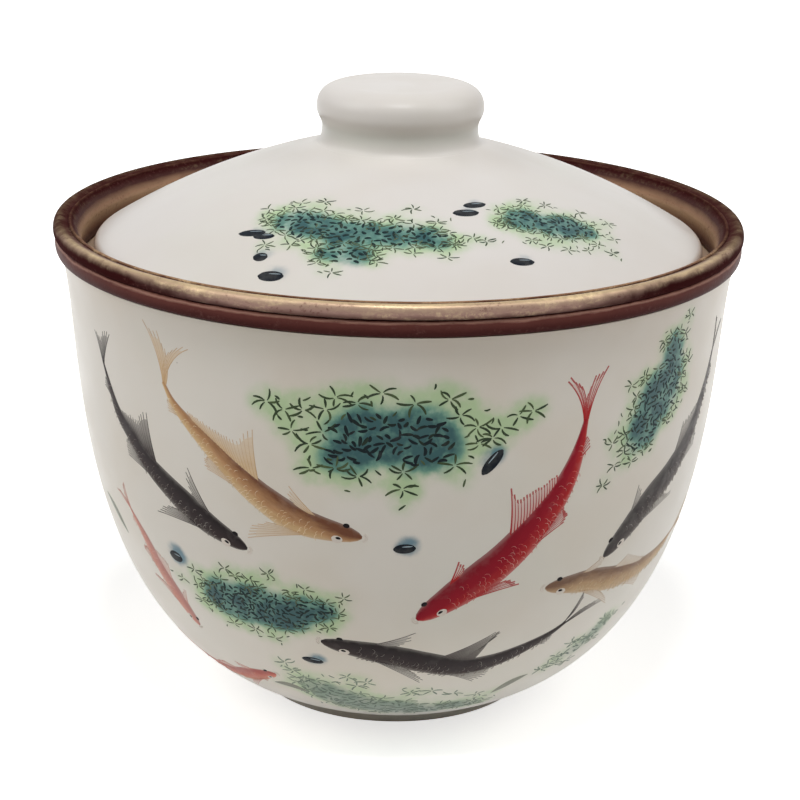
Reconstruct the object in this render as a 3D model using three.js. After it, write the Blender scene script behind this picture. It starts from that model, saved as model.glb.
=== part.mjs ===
// A covered porcelain bowl: a round body on a turned foot ring, a bronze band bound over its mouth,
// and a domed lid with a button knob that drops inside the band on to a ledge.
// Millimetres, +Z up, origin at the middle of the foot's resting face.

import * as THREE from 'three';

// Bowl body
const BODY_RADIUS = 56.8;        // outside, just below the band
const MOUTH_HEIGHT = 80.9;       // flat top of the porcelain, which the band covers
const SIDE_WALL = 3.6;           // porcelain near the mouth
const HEEL_WALL = 5;             // porcelain near the foot
const FLOOR_WALL = 3.6;          // porcelain in the middle of the floor
const FLOOR_RADIUS = 30;         // inside this radius the wall runs out into the floor
const BELLY_REACH = 1.4;         // the belly's lower pull point, out from the mouth
const BELLY_LIFT = 14.4;         // that point, up from the foot
const FLARE_TUCK = 3.6;          // the flare's upper pull point, in from the mouth
const FLARE_DROP = 12.1;         // that point, down from the band
// Foot ring
const FOOT_RADIUS = 24.2;
const FOOT_HEIGHT = 1.8;
const FOOT_WIDTH = 3.2;          // thickness of the ring
const FOOT_ROUND = 0.5;          // rounding of its resting edges
const FOOT_COVE = 0.9;           // step from the ring out to the body
// Gallery that takes the lid
const TONGUE_WALL = 2.2;         // upright porcelain inside the band
const GALLERY_DEPTH = 4.7;       // ledge below the top of the porcelain
const LID_BEARING = 3.6;         // how far the ledge reaches in under the lid
const LEDGE_THICKNESS = 2.2;
const LEDGE_ROUND = 0.6;
const CORBEL_HEIGHT = 6;         // slope under the ledge, back to the wall
// Band
const FIT_GAP = 0.3;             // cement line between band and porcelain
const BAND_WALL = 0.6;           // skirt inside the mouth
const SKIRT_HEIGHT = 2.6;        // skirt outside the mouth, which carries the lower bead
const GROOVE_WALL = 0.45;        // metal left behind the groove between the two beads
const BEAD_BULGE = 0.5;          // lower bead, out from the groove
const CROWN_OVERHANG = 1.2;      // upper bead, out from the body
const CROWN_WAIST = 0.95;        // height of the upper bead's widest circle above the porcelain
const CROWN_HEIGHT = 2.4;        // top of the band above the porcelain
const INNER_BEAD = 0.3;          // radius of the fine bead round the inner edge
const INNER_BEAD_INSET = 1.65;   // that bead, in from the body's radius
const INNER_BEAD_DROP = 0.45;    // that bead, down from the top of the band
const LIP_FLARE_DROP = 1.2;      // where the flare inside the mouth ends, below the porcelain's top
// Lid
const LID_PLAY = 2.1;            // all round, between the lid's edge and the band
const LID_WALL = 3.2;
const LID_CROWN_WALL = 3.4;      // porcelain under the middle of the knob's seat
const LID_EDGE = 3.2;            // thickness of the edge that rests on the ledge
const LID_EDGE_ROUND = 0.9;
const LID_SEAT = 4.4;            // width of the flat ring underneath that rests on the ledge
const DOME_RISE = 15;            // from the top of the edge to the foot of the knob's seat
const DOME_BULGE = 2.8;          // pull of the dome, out from a straight cone
const SEAT_HEIGHT = 1.2;         // raised seat that the knob is joined to
const SEAT_COVE = 3.1;           // width of the cove round that seat
const SEAT_PULL_REACH = 1;       // the cove's pull point, out from the knob's foot
const SEAT_PULL_LIFT = 0.57;     // that point, up from the dome
// Knob
const KNOB_RADIUS = 14;
const KNOB_FOOT_INSET = 0.1;
const KNOB_WAIST_INSET = 0.9;
const KNOB_WAIST_HEIGHT = 2.6;   // from the seat up to the waist
const KNOB_FOOT_LIFT = 0.5;      // pull point of the cove below the waist, up from the seat
const KNOB_FLARE_HEIGHT = 3.4;   // from the waist up to the widest circle
const KNOB_SHOULDER_HEIGHT = 3.8;
const KNOB_SHOULDER_WIDTH = 5;
const KNOB_CROWN = 0.25;         // rise of the nearly flat top

const TURN_STEPS = 48;           // facets round the axis
const CURVE_STEPS = 16;          // facets along a long curve
const BEAD_STEPS = 6;            // facets along a bead or a shoulder
const ROUND_STEPS = 3;           // facets along a small rounding

// Places that follow from the sizes above
const bandBottom = MOUTH_HEIGHT - SKIRT_HEIGHT;
const tongueOutside = BODY_RADIUS - FIT_GAP;
const tongueInside = tongueOutside - TONGUE_WALL;
const bandInside = tongueInside - FIT_GAP - BAND_WALL;
const lidRadius = bandInside - LID_PLAY;
const ledgeHeight = MOUTH_HEIGHT - GALLERY_DEPTH;
const ledgeInside = lidRadius - LID_BEARING;
const lidEdgeTop = ledgeHeight + LID_EDGE;
const domeTop = lidEdgeTop + DOME_RISE;
const seatTop = domeTop + SEAT_HEIGHT;
const knobFoot = KNOB_RADIUS - KNOB_FOOT_INSET;

const point = (radius, height) => new THREE.Vector2(radius, height);

// Points of a curved stretch between two places, pulled towards a corner
function pulled(from, corner, to, steps) {
  return new THREE.QuadraticBezierCurve(from, corner, to).getPoints(steps);
}

// Points that round off the corner of an outline, by no more than half of either side
function rounded(before, corner, after, size) {
  const reach = Math.min(size, corner.distanceTo(before) / 2, corner.distanceTo(after) / 2);
  const from = before.clone().sub(corner).setLength(reach).add(corner);
  const to = after.clone().sub(corner).setLength(reach).add(corner);
  return pulled(from, corner, to, ROUND_STEPS);
}

// Points along a curve, moved square to it by the wall that wallAt gives for each place along it
function insideOf(curve, wallAt) {
  const points = [];
  for (let step = 0; step <= CURVE_STEPS; step += 1) {
    const along = step / CURVE_STEPS;
    const tangent = curve.getTangent(along);
    const inward = point(-tangent.y, tangent.x).multiplyScalar(wallAt(along));
    points.push(curve.getPoint(along).add(inward));
  }
  return points;
}

// Points that carry a run on from its last two places to the axis, which it meets level at that height
function levelAtAxis(run, height) {
  const [before, last] = run.slice(-2);
  const slope = (last.y - before.y) / (last.x - before.x);
  const pull = THREE.MathUtils.clamp(last.x - (last.y - height) / slope, 0, last.x);
  return pulled(last, point(pull, height), point(0, height), BEAD_STEPS).slice(1);
}

// One piece turned about the vertical axis from its half section
function turned(name, section, material) {
  const geometry = new THREE.LatheGeometry(section, TURN_STEPS);
  geometry.rotateX(Math.PI / 2);
  const mesh = new THREE.Mesh(geometry, material);
  mesh.name = name;
  return mesh;
}

// Outside of the body, from the foot up to the band
function bodyCurve() {
  return new THREE.CubicBezierCurve(
    point(FOOT_RADIUS + FOOT_COVE, FOOT_HEIGHT),
    point(BODY_RADIUS + BELLY_REACH, FOOT_HEIGHT + BELLY_LIFT),
    point(BODY_RADIUS - FLARE_TUCK, bandBottom - FLARE_DROP),
    point(BODY_RADIUS, bandBottom - FIT_GAP),
  );
}

// Underside of the bowl: the recess, then the ring that it stands on
function footRing(bodyStart) {
  const middle = point(0, FOOT_HEIGHT);
  const recess = point(FOOT_RADIUS - FOOT_WIDTH, FOOT_HEIGHT);
  const innerEdge = point(FOOT_RADIUS - FOOT_WIDTH, 0);
  const outerEdge = point(FOOT_RADIUS, 0);
  const root = point(FOOT_RADIUS, FOOT_HEIGHT);
  return [
    middle,
    ...rounded(middle, recess, innerEdge, FOOT_COVE),
    ...rounded(recess, innerEdge, outerEdge, FOOT_ROUND),
    ...rounded(innerEdge, outerEdge, root, FOOT_ROUND),
    ...rounded(outerEdge, root, bodyStart, FOOT_COVE),
  ];
}

// Mouth of the bowl: the tongue that the band covers, then the ledge that the lid rests on
function gallery() {
  const ledgeRoot = point(tongueInside, ledgeHeight);
  const ledgeEdge = point(ledgeInside, ledgeHeight);
  const ledgeUnder = point(ledgeInside, ledgeHeight - LEDGE_THICKNESS);
  return [
    point(tongueOutside, bandBottom - FIT_GAP),
    point(tongueOutside, MOUTH_HEIGHT),
    point(tongueInside, MOUTH_HEIGHT),
    ledgeRoot,
    ...rounded(ledgeRoot, ledgeEdge, ledgeUnder, LEDGE_ROUND),
    ledgeUnder,
  ];
}

function bowl() {
  const curve = bodyCurve();
  const outside = curve.getPoints(CURVE_STEPS);
  const corbelFoot = ledgeHeight - LEDGE_THICKNESS - CORBEL_HEIGHT;
  const inside = insideOf(curve, (along) => THREE.MathUtils.lerp(HEEL_WALL, SIDE_WALL, along))
    .filter((place) => place.x > FLOOR_RADIUS && place.y < corbelFoot)
    .reverse();
  const floor = levelAtAxis(inside, FOOT_HEIGHT + FLOOR_WALL);
  const section = [...footRing(outside[0]), ...outside, ...gallery(), ...inside, ...floor];
  return turned('bowl', section, new THREE.MeshStandardMaterial({ color: 0xd5cfc6, roughness: 0.18 }));
}

function rimBand() {
  const grooveRadius = BODY_RADIUS + GROOVE_WALL;
  const crownRadius = BODY_RADIUS + CROWN_OVERHANG;
  const crownTop = MOUTH_HEIGHT + CROWN_HEIGHT;
  const beadHeight = MOUTH_HEIGHT - SKIRT_HEIGHT / 2;
  const innerBeadRadius = BODY_RADIUS - INNER_BEAD_INSET;
  const innerBeadHeight = crownTop - INNER_BEAD_DROP;
  const skirtRadius = bandInside + BAND_WALL;
  const skirtBottom = ledgeHeight + FIT_GAP;

  const mouthEdge = point(BODY_RADIUS, MOUTH_HEIGHT);
  const groove = point(grooveRadius, MOUTH_HEIGHT);
  const widest = point(crownRadius, MOUTH_HEIGHT + CROWN_WAIST);
  const top = point(BODY_RADIUS, crownTop);
  const lip = point(innerBeadRadius - INNER_BEAD, innerBeadHeight);
  const flareFoot = point(bandInside, MOUTH_HEIGHT - LIP_FLARE_DROP);
  const quarterTurn = Math.PI / 2;
  const lowerBead = new THREE.EllipseCurve(
    grooveRadius, beadHeight, BEAD_BULGE, SKIRT_HEIGHT / 2, -quarterTurn, quarterTurn,
  );
  const innerBead = new THREE.EllipseCurve(
    innerBeadRadius, innerBeadHeight, INNER_BEAD, INNER_BEAD, 0, 2 * quarterTurn,
  );
  const section = [
    mouthEdge,
    point(BODY_RADIUS, bandBottom),
    ...lowerBead.getPoints(BEAD_STEPS).slice(0, -1),
    ...pulled(groove, point(crownRadius, MOUTH_HEIGHT), widest, ROUND_STEPS),
    ...pulled(widest, point(crownRadius, crownTop), top, BEAD_STEPS).slice(1),
    ...innerBead.getPoints(BEAD_STEPS).slice(0, -1),
    ...pulled(lip, point(bandInside, MOUTH_HEIGHT), flareFoot, ROUND_STEPS),
    point(bandInside, skirtBottom),
    point(skirtRadius, skirtBottom),
    point(skirtRadius, MOUTH_HEIGHT),
    mouthEdge,
  ];
  const material = new THREE.MeshStandardMaterial({ color: 0x8a6240, roughness: 0.35, metalness: 0.85 });
  return turned('rim_band', section, material);
}

// Outside of the lid's dome, from its edge up to the cove round the knob's seat
function domeCurve() {
  const edge = point(lidRadius, lidEdgeTop);
  const top = point(knobFoot + SEAT_COVE, domeTop);
  const slope = top.clone().sub(edge).normalize();
  const outward = point(slope.y, -slope.x).multiplyScalar(DOME_BULGE);
  const pull = edge.clone().lerp(top, 0.5).add(outward);
  return new THREE.QuadraticBezierCurve(edge, pull, top);
}

function lid() {
  const dome = domeCurve();
  const [edgeTop, ...outside] = dome.getPoints(CURVE_STEPS);
  const seatEdge = point(lidRadius - LID_SEAT, ledgeHeight);
  const edgeBottom = point(lidRadius, ledgeHeight);
  const seatRim = point(knobFoot, seatTop);
  const seatPull = point(knobFoot + SEAT_PULL_REACH, domeTop + SEAT_PULL_LIFT);
  const hollow = insideOf(dome, () => LID_WALL).filter((place) => place.x < seatEdge.x);
  const crown = levelAtAxis(hollow, seatTop - LID_CROWN_WALL);
  const section = [
    ...[...hollow, ...crown].reverse(),
    seatEdge,
    ...rounded(seatEdge, edgeBottom, edgeTop, LID_EDGE_ROUND),
    ...rounded(edgeBottom, edgeTop, outside[0], LID_EDGE_ROUND),
    ...outside,
    ...pulled(outside[outside.length - 1], seatPull, seatRim, ROUND_STEPS).slice(1),
    point(0, seatTop),
  ];
  return turned('lid', section, new THREE.MeshStandardMaterial({ color: 0xdad6d1, roughness: 0.15 }));
}

function lidKnob() {
  const waist = point(KNOB_RADIUS - KNOB_WAIST_INSET, seatTop + KNOB_WAIST_HEIGHT);
  const widest = point(KNOB_RADIUS, waist.y + KNOB_FLARE_HEIGHT);
  const shoulder = point(KNOB_RADIUS - KNOB_SHOULDER_WIDTH, widest.y + KNOB_SHOULDER_HEIGHT);
  const crownTop = shoulder.y + KNOB_CROWN;
  const flareMiddle = waist.y + KNOB_FLARE_HEIGHT / 2;
  const footPull = point(waist.x, seatTop + KNOB_FOOT_LIFT);
  const flare = new THREE.CubicBezierCurve(
    waist, point(waist.x, flareMiddle), point(widest.x, flareMiddle), widest,
  );
  const section = [
    point(0, seatTop),
    ...pulled(point(knobFoot, seatTop), footPull, waist, ROUND_STEPS),
    ...flare.getPoints(BEAD_STEPS).slice(1),
    ...pulled(widest, point(KNOB_RADIUS, shoulder.y), shoulder, BEAD_STEPS).slice(1),
    ...pulled(shoulder, point(shoulder.x / 2, crownTop), point(0, crownTop), ROUND_STEPS).slice(1),
  ];
  return turned('lid_knob', section, new THREE.MeshStandardMaterial({ color: 0xdcd9d6, roughness: 0.15 }));
}

const base = new THREE.Group();
base.add(bowl(), rimBand());

const cover = new THREE.Group();
cover.add(lid(), lidKnob());

const coveredBowl = new THREE.Group();
coveredBowl.add(base, cover);

export default coveredBowl;
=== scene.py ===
import math
import random

import bpy
import numpy as np
from mathutils import Matrix, Vector


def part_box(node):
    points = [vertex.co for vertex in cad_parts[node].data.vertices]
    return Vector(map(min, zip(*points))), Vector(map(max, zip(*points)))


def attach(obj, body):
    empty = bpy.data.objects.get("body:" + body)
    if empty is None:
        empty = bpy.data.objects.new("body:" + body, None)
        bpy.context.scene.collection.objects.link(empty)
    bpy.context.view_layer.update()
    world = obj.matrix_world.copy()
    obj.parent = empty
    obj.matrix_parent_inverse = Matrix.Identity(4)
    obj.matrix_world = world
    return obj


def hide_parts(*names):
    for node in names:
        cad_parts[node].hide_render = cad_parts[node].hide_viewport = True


# A covered porcelain bowl with a bronze-bound mouth, painted with fish, water weed and pebbles.
# Shapes are worked out in millimetres and turned to metres when a mesh is made.
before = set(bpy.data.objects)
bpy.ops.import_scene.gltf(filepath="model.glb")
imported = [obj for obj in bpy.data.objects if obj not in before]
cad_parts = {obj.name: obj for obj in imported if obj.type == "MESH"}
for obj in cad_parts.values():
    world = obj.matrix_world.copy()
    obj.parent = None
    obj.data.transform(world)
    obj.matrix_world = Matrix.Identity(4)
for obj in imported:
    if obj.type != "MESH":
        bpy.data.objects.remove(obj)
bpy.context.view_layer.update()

MM = 0.001


def reach(node):
    """Lowest height, greatest height and radius of a turned node of the frame, in millimetres."""
    low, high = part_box(node)
    return low.z / MM, high.z / MM, high.x / MM


# Sizes that the frame gives
_, MOUTH_HEIGHT, BODY_RADIUS = reach("bowl")
SKIRT_BOTTOM, BAND_TOP, CROWN_RADIUS = reach("rim_band")
LEDGE_HEIGHT, SEAT_TOP, LID_RADIUS = reach("lid")
_, KNOB_TOP, KNOB_RADIUS = reach("lid_knob")

# Bowl and foot
SKIRT_HEIGHT = 2.6
FIT_GAP = 0.3
SIDE_WALL = 3.6
HEEL_WALL = 5.0
FLOOR_WALL = 3.6
FLOOR_RADIUS = 30.0
BELLY_REACH = 1.4
BELLY_LIFT = 14.4
FLARE_TUCK = 3.6
FLARE_DROP = 12.1
FOOT_RADIUS = 24.2
FOOT_HEIGHT = 1.8
FOOT_WIDTH = 3.2
FOOT_ROUND = 0.5
FOOT_COVE = 0.9
TONGUE_WALL = 2.2
LID_BEARING = 3.6
LEDGE_THICKNESS = 2.2
LEDGE_ROUND = 0.6
CORBEL_HEIGHT = 6.0
# Band
BAND_WALL = 0.6
GROOVE_WALL = 0.45
BEAD_BULGE = 0.5
CROWN_WAIST = 0.95
INNER_BEAD = 0.3
INNER_BEAD_INSET = 1.65
INNER_BEAD_DROP = 0.45
LIP_FLARE_DROP = 1.2
# Lid and knob
LID_WALL = 3.2
LID_CROWN_WALL = 3.4
LID_EDGE = 3.2
LID_EDGE_ROUND = 0.9
LID_SEAT = 4.4
DOME_RISE = 15.0
DOME_BULGE = 2.8
SEAT_COVE = 3.1
SEAT_PULL_REACH = 1.0
SEAT_PULL_LIFT = 0.57
KNOB_FOOT_INSET = 0.1
KNOB_WAIST_INSET = 0.9
KNOB_WAIST_HEIGHT = 2.6
KNOB_FOOT_LIFT = 0.5
KNOB_SHOULDER_HEIGHT = 3.8
KNOB_SHOULDER_WIDTH = 5.0
KNOB_CROWN = 0.25

# Places that follow from those sizes
BAND_BOTTOM = MOUTH_HEIGHT - SKIRT_HEIGHT
TONGUE_OUTSIDE = BODY_RADIUS - FIT_GAP
TONGUE_INSIDE = TONGUE_OUTSIDE - TONGUE_WALL
BAND_INSIDE = TONGUE_INSIDE - FIT_GAP - BAND_WALL
LEDGE_INSIDE = LID_RADIUS - LID_BEARING
LID_EDGE_TOP = LEDGE_HEIGHT + LID_EDGE
DOME_TOP = LID_EDGE_TOP + DOME_RISE
KNOB_FOOT = KNOB_RADIUS - KNOB_FOOT_INSET

# Fineness of the turned pieces
BODY_COLUMNS = 360
LID_COLUMNS = 300
KNOB_COLUMNS = 160
LONG_STEPS = 140
INSIDE_SKIP = 5
BEAD_STEPS = 14
ROUND_STEPS = 6
FLAT_STEPS = 8
SHARP_ANGLE = math.radians(40)
# Points nearer than this, and radii smaller than this, count as one point and as the axis
SAME_POINT = 1e-4
ON_AXIS = 1e-6

# Camera of the photograph
VIEW_ELEVATION = math.radians(18.13)
VIEW_DISTANCE = 0.400
VIEW_TARGET = Vector((0.00069, 0, 0.04992))
VIEW_ROLL = math.radians(0.9)
FOCAL_PIXELS = 2301.8
PICTURE_PIXELS = 800
SENSOR_WIDTH = 36.0


def colour(red, green, blue):
    """Linear colour from the 0 to 255 values that a picture shows."""
    shares = np.array((red, green, blue)) / 255
    linear = np.where(shares <= 0.04045, shares / 12.92, ((shares + 0.055) / 1.055) ** 2.4)
    return (*linear.tolist(), 1.0)


PORCELAIN = colour(224, 218, 209)
PORCELAIN_WARM = colour(220, 212, 200)
PORCELAIN_COOL = colour(220, 218, 208)
LID_WHITE = colour(221, 216, 211)
LID_WARM = colour(218, 212, 205)
POOLED_GLAZE = colour(196, 202, 190)
BISCUIT = colour(205, 186, 160)
BISCUIT_DARK = colour(184, 163, 136)
IRON_SPECK = colour(110, 92, 78)
# Painted brown shade under the band, and where the lid meets the band and the ledge
BROWN_SHADE = colour(162, 128, 96)
GREEN_WASH = colour(172, 200, 150)
SEA_WASH = colour(78, 138, 127)
TEAL_WASH = colour(30, 77, 82)
BLUE_WASH = colour(48, 108, 130)
MOSS_WASH = colour(108, 130, 116)
# Dark patina in the band's hollows, and also the colour of the painted shade on its sides and back
SOOT_AND_SHADE = colour(52, 18, 18)
# Gold where the patina is worn through, which also stands for painted highlight on the crown
RUBBED_GOLD_AND_HIGHLIGHT = colour(228, 206, 162)
DULL_BROWN = colour(96, 62, 58)


# Curves and sections

def curve(*pulls, steps):
    """Points of the Bezier curve that starts at the first pull point and ends at the last."""
    share = np.linspace(0, 1, steps + 1)[:, None]
    level = [np.tile(np.array(pull, float), (steps + 1, 1)) for pull in pulls]
    while len(level) > 1:
        level = [near + (far - near) * share for near, far in zip(level, level[1:])]
    return level[0]


def rounded(before, corner, after, size):
    """Points that round off a corner, by no more than half of either side."""
    before, corner, after = (np.array(place, float) for place in (before, corner, after))
    sides = [place - corner for place in (before, after)]
    lengths = [np.linalg.norm(side) for side in sides]
    cut = min(size, *(length / 2 for length in lengths))
    start, end = (corner + side * cut / length for side, length in zip(sides, lengths))
    return curve(start, corner, end, steps=ROUND_STEPS)


def unit(rows):
    """Vectors made one long."""
    return rows / np.linalg.norm(rows, axis=1)[:, None]


def inside_of(points, walls):
    """A run of points moved square to itself, inwards, by the wall at each point."""
    slope = unit(np.gradient(points, axis=0))
    inward = np.stack([-slope[:, 1], slope[:, 0]], axis=1)
    return points + inward * np.broadcast_to(walls, len(points))[:, None]


def level_at_axis(run, height):
    """Points that carry a run on from its last two points to the axis, which it meets level."""
    before, last = run[-2:]
    slope = (last[1] - before[1]) / (last[0] - before[0])
    pull = min(max(last[0] - (last[1] - height) / slope, 0), last[0])
    return curve(last, (pull, height), (0, height), steps=BEAD_STEPS)[1:]


def half_ellipse(centre, reach_out, reach_up, start, end):
    """Points of an elliptical bead about a centre, between two angles in degrees."""
    angles = np.radians(np.linspace(start, end, BEAD_STEPS + 1))
    return np.stack([centre[0] + reach_out * np.cos(angles), centre[1] + reach_up * np.sin(angles)], axis=1)


def joined(*runs):
    """One section from several runs of points, without the points that repeat where runs meet."""
    points = np.vstack([np.atleast_2d(np.array(run, float)) for run in runs])
    step = np.linalg.norm(np.diff(points, axis=0), axis=1)
    return points[np.concatenate([[True], step > SAME_POINT])]


def run_length(points):
    """Distance along a run of points, up to each of them."""
    return np.concatenate([[0], np.cumsum(np.linalg.norm(np.diff(points, axis=0), axis=1))])


def body_curve():
    """Outside of the bowl, from the foot up to the band."""
    return curve(
        (FOOT_RADIUS + FOOT_COVE, FOOT_HEIGHT),
        (BODY_RADIUS + BELLY_REACH, FOOT_HEIGHT + BELLY_LIFT),
        (BODY_RADIUS - FLARE_TUCK, BAND_BOTTOM - FLARE_DROP),
        (BODY_RADIUS, BAND_BOTTOM - FIT_GAP),
        steps=LONG_STEPS,
    )


def dome_curve():
    """Outside of the lid, from its edge up to the cove round the knob's seat."""
    edge = np.array((LID_RADIUS, LID_EDGE_TOP))
    top = np.array((KNOB_FOOT + SEAT_COVE, DOME_TOP))
    slope = (top - edge) / np.linalg.norm(top - edge)
    pull = (edge + top) / 2 + np.array((slope[1], -slope[0])) * DOME_BULGE
    return curve(edge, pull, top, steps=LONG_STEPS)


# Meshes

def mesh_object(name, vertices, faces):
    """A smooth mesh object, in metres, with sharp edges kept where faces meet steeply."""
    mesh = bpy.data.meshes.new(name)
    mesh.from_pydata(vertices.tolist(), [], faces)
    mesh.validate()
    mesh.shade_smooth()
    mesh.set_sharp_from_angle(angle=SHARP_ANGLE)
    made = bpy.data.objects.new(name, mesh)
    bpy.context.scene.collection.objects.link(made)
    return made


def set_attribute(piece, name, values):
    """A number, or a vector, for each vertex, which materials read by its name."""
    kind, field = ("FLOAT", "value") if values.ndim == 1 else ("FLOAT_VECTOR", "vector")
    layer = piece.data.attributes.new(name, kind, "POINT")
    layer.data.foreach_set(field, values.astype(np.float32).ravel())


class Turned:
    """A piece turned about the axis, from a half section that ends on the axis or closes on itself."""

    def __init__(self, name, section, columns, closes=False):
        self.section = section
        on_axis = section[:, 0] < ON_AXIS
        counts = np.where(on_axis, 1, columns)
        starts = np.concatenate([[0], np.cumsum(counts)[:-1]])
        self.row = np.repeat(np.arange(len(section)), counts)
        turn = np.linspace(-math.pi, math.pi, columns, endpoint=False)
        self.angle = np.concatenate([[0.0] if single else turn for single in on_axis])
        radius, height = section[self.row].T
        vertices = np.stack([radius * np.sin(self.angle), -radius * np.cos(self.angle), height], axis=1)
        faces = []
        rows = list(range(len(section)))
        for lower, upper in zip(rows, rows[1:] + rows[:1] if closes else rows[1:]):
            for column in range(columns):
                after = (column + 1) % columns
                ring = [starts[lower] + column % counts[lower], starts[lower] + after % counts[lower],
                        starts[upper] + after % counts[upper], starts[upper] + column % counts[upper]]
                # A row on the axis has one point, so faces that meet it are triangles
                faces.append([int(index) for index in dict.fromkeys(ring)])
        self.piece = mesh_object(name, vertices * MM, faces)

    def set_rows(self, **layers):
        """Gives every vertex the value of its row of the section, in each named layer."""
        for name, values in layers.items():
            rows = np.broadcast_to(np.asarray(values, float), len(self.section))
            set_attribute(self.piece, name, rows[self.row])

    def set_streaks(self, stretch):
        """Coordinates in metres, stretched across the section so that noise makes streaks round it."""
        radius, _ = self.section[self.row].T
        across = run_length(self.section)[self.row] * stretch
        round_axis = [radius * np.sin(self.angle), -radius * np.cos(self.angle), across]
        set_attribute(self.piece, "streaks", np.stack(round_axis, axis=1) * MM)


# Painting on a turned surface

class Skin:
    """The painted side of a turned piece, as a sheet of (angle, distance along the section) places."""

    def __init__(self, points, marks):
        self.run = run_length(points)
        self.points = points
        slope = unit(np.gradient(points, self.run, axis=0))
        self.outward = np.stack([slope[:, 1], -slope[:, 0]], axis=1)
        order = np.argsort(marks)
        self.marks = marks[order]
        self.marked_run = self.run[order]
        self.washes = []

    def spot(self, angle, mark):
        """Place at degrees from the front, and at a height on the bowl or a radius on the lid."""
        return np.array((math.radians(angle), np.interp(mark, self.marks, self.marked_run)))

    def radius(self, run):
        return np.interp(run, self.run, self.points[:, 0])

    def moved(self, place, right, up):
        """Place moved by millimetres to the right and up, along the surface."""
        return np.array((place[0] + right / self.radius(place[1]), place[1] + up))

    def toward(self, place, angle, distance):
        """Place moved by millimetres along the surface, at an angle in radians from the right."""
        return self.moved(place, distance * math.cos(angle), distance * math.sin(angle))

    def solid(self, places, lift):
        """Points in space, in millimetres, of places lifted off the surface."""
        angle, run = places.T
        radius, height, out, up = (
            np.interp(run, self.run, values) for values in (*self.points.T, *self.outward.T))
        radius = radius + out * lift
        return np.stack([radius * np.sin(angle), -radius * np.cos(angle), height + up * lift], axis=1)

    def wash(self, kind, place, spread, strength):
        """Adds a soft patch of thin colour, which the piece's own glaze shows."""
        self.washes.append((kind, place, spread, strength))

    def wash_strength(self, kind, angle, run):
        """How much of one colour all the patches leave at each of many places."""
        total = np.zeros(len(angle))
        for patch_kind, place, spread, strength in self.washes:
            if patch_kind != kind:
                continue
            turn = (angle - place[0] + math.pi) % (2 * math.pi) - math.pi
            right = turn * self.radius(run)
            total += strength * np.exp(-(right ** 2 + (run - place[1]) ** 2) / (2 * spread ** 2))
        return 1 - np.exp(-total)


# Depth of the underside of the paint below the glaze, and how much lower a stroke is at its edges
SINK = -0.12
EDGE_THINNING = 0.7
# A dab's steps along and across it, how blunt its ends are, and how its brush marks change with its place
DAB_STEPS = 11
DAB_COLUMNS = 7
DAB_BLUNTNESS = 0.02
DAB_SEEDS = 40


class Paint:
    """Thin closed shells of enamel on a skin, gathered into one piece."""

    def __init__(self, skin):
        self.skin = skin
        self.parts = []
        self.faces = []
        self.slots = []
        self.count = 0

    def sheet(self, places, lift, tone, ink, brush, slot=0):
        """One shell from a grid of places: tone picks its colour, ink how much of the ground it hides."""
        shape = places.shape[:2]
        total = shape[0] * shape[1]
        lift, tone, ink = (np.broadcast_to(values, shape) for values in (lift, tone, ink))
        # Faces look outwards, whichever way round the grid was drawn
        flat = places * (self.skin.radius(places[..., 1].mean()), 1)
        down, across = flat[1:, :-1] - flat[:-1, :-1], flat[:-1, 1:] - flat[:-1, :-1]
        if (down[..., 0] * across[..., 1] - down[..., 1] * across[..., 0]).sum() < 0:
            places, lift, tone, ink, brush = (grid[:, ::-1] for grid in (places, lift, tone, ink, brush))
        top = self.count + np.arange(total).reshape(shape)
        self.count += 2 * total
        edge = np.concatenate([top[:-1, 0], top[-1, :-1], top[:0:-1, -1], top[0, :0:-1]])
        after = np.roll(edge, -1)
        upper = np.stack([top[:-1, :-1], top[1:, :-1], top[1:, 1:], top[:-1, 1:]], axis=-1).reshape(-1, 4)
        lower = upper[:, [0, 3, 2, 1]] + total
        sides = np.stack([after, edge, edge + total, after + total], axis=-1)
        for block in (upper, lower, sides):
            self.faces.extend(block.tolist())
            self.slots.extend([slot] * len(block))
        flat_places = places.reshape(-1, 2)
        for height in (lift.ravel(), np.full(total, SINK)):
            points = self.skin.solid(flat_places, height)
            self.parts.append((points, tone.ravel(), ink.ravel(), brush.reshape(-1, 3)))

    def stroke(self, line, half_widths, lift, tone=0.5, ink=1.0, columns=3, slot=0, seed=0.0):
        """One brush stroke: a strip along a line of places, with its width at each."""
        line = np.asarray(line, float)
        scale = np.stack([self.skin.radius(line[:, 1]), np.ones(len(line))], axis=1)
        ahead = unit(np.gradient(line, axis=0) * scale)
        left = np.stack([-ahead[:, 1], ahead[:, 0]], axis=1) / scale
        across = np.linspace(-1, 1, columns)
        offset = across[None, :] * np.asarray(half_widths, float)[:, None]
        places = line[:, None, :] + offset[..., None] * left[:, None, :]
        along = run_length(line * (scale[:, 0].mean(), 1))
        brush = np.stack([np.broadcast_to(along[:, None], offset.shape), offset,
                          np.full(offset.shape, seed)], axis=-1)
        self.sheet(places, lift * (1 - EDGE_THINNING * across[None, :] ** 2), tone, ink, brush, slot)

    def disc(self, place, length, width, heading, lift, tone=0.5, ink=1.0, slot=0):
        """A round or oval dab, its long way at an angle in degrees from the right."""
        share = np.linspace(-1, 1, DAB_STEPS)
        direction = math.radians(heading)
        line = [self.skin.toward(place, direction, step) for step in share * length / 2]
        half = np.sqrt(np.maximum(1 - share ** 2, DAB_BLUNTNESS)) * width / 2
        self.stroke(line, half, lift, tone, ink, columns=DAB_COLUMNS, slot=slot, seed=place[0] * DAB_SEEDS)

    def piece(self, name, materials):
        """The finished piece, with the attributes that its materials read."""
        points, tone, ink, brush = (np.concatenate(group) for group in zip(*self.parts))
        made = mesh_object(name, points * MM, self.faces)
        set_attribute(made, "tone", tone)
        set_attribute(made, "ink", ink)
        set_attribute(made, "brush", brush * MM)
        for finish in materials:
            made.data.materials.append(finish)
        made.data.polygons.foreach_set("material_index", self.slots)
        return made


# Materials

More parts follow.
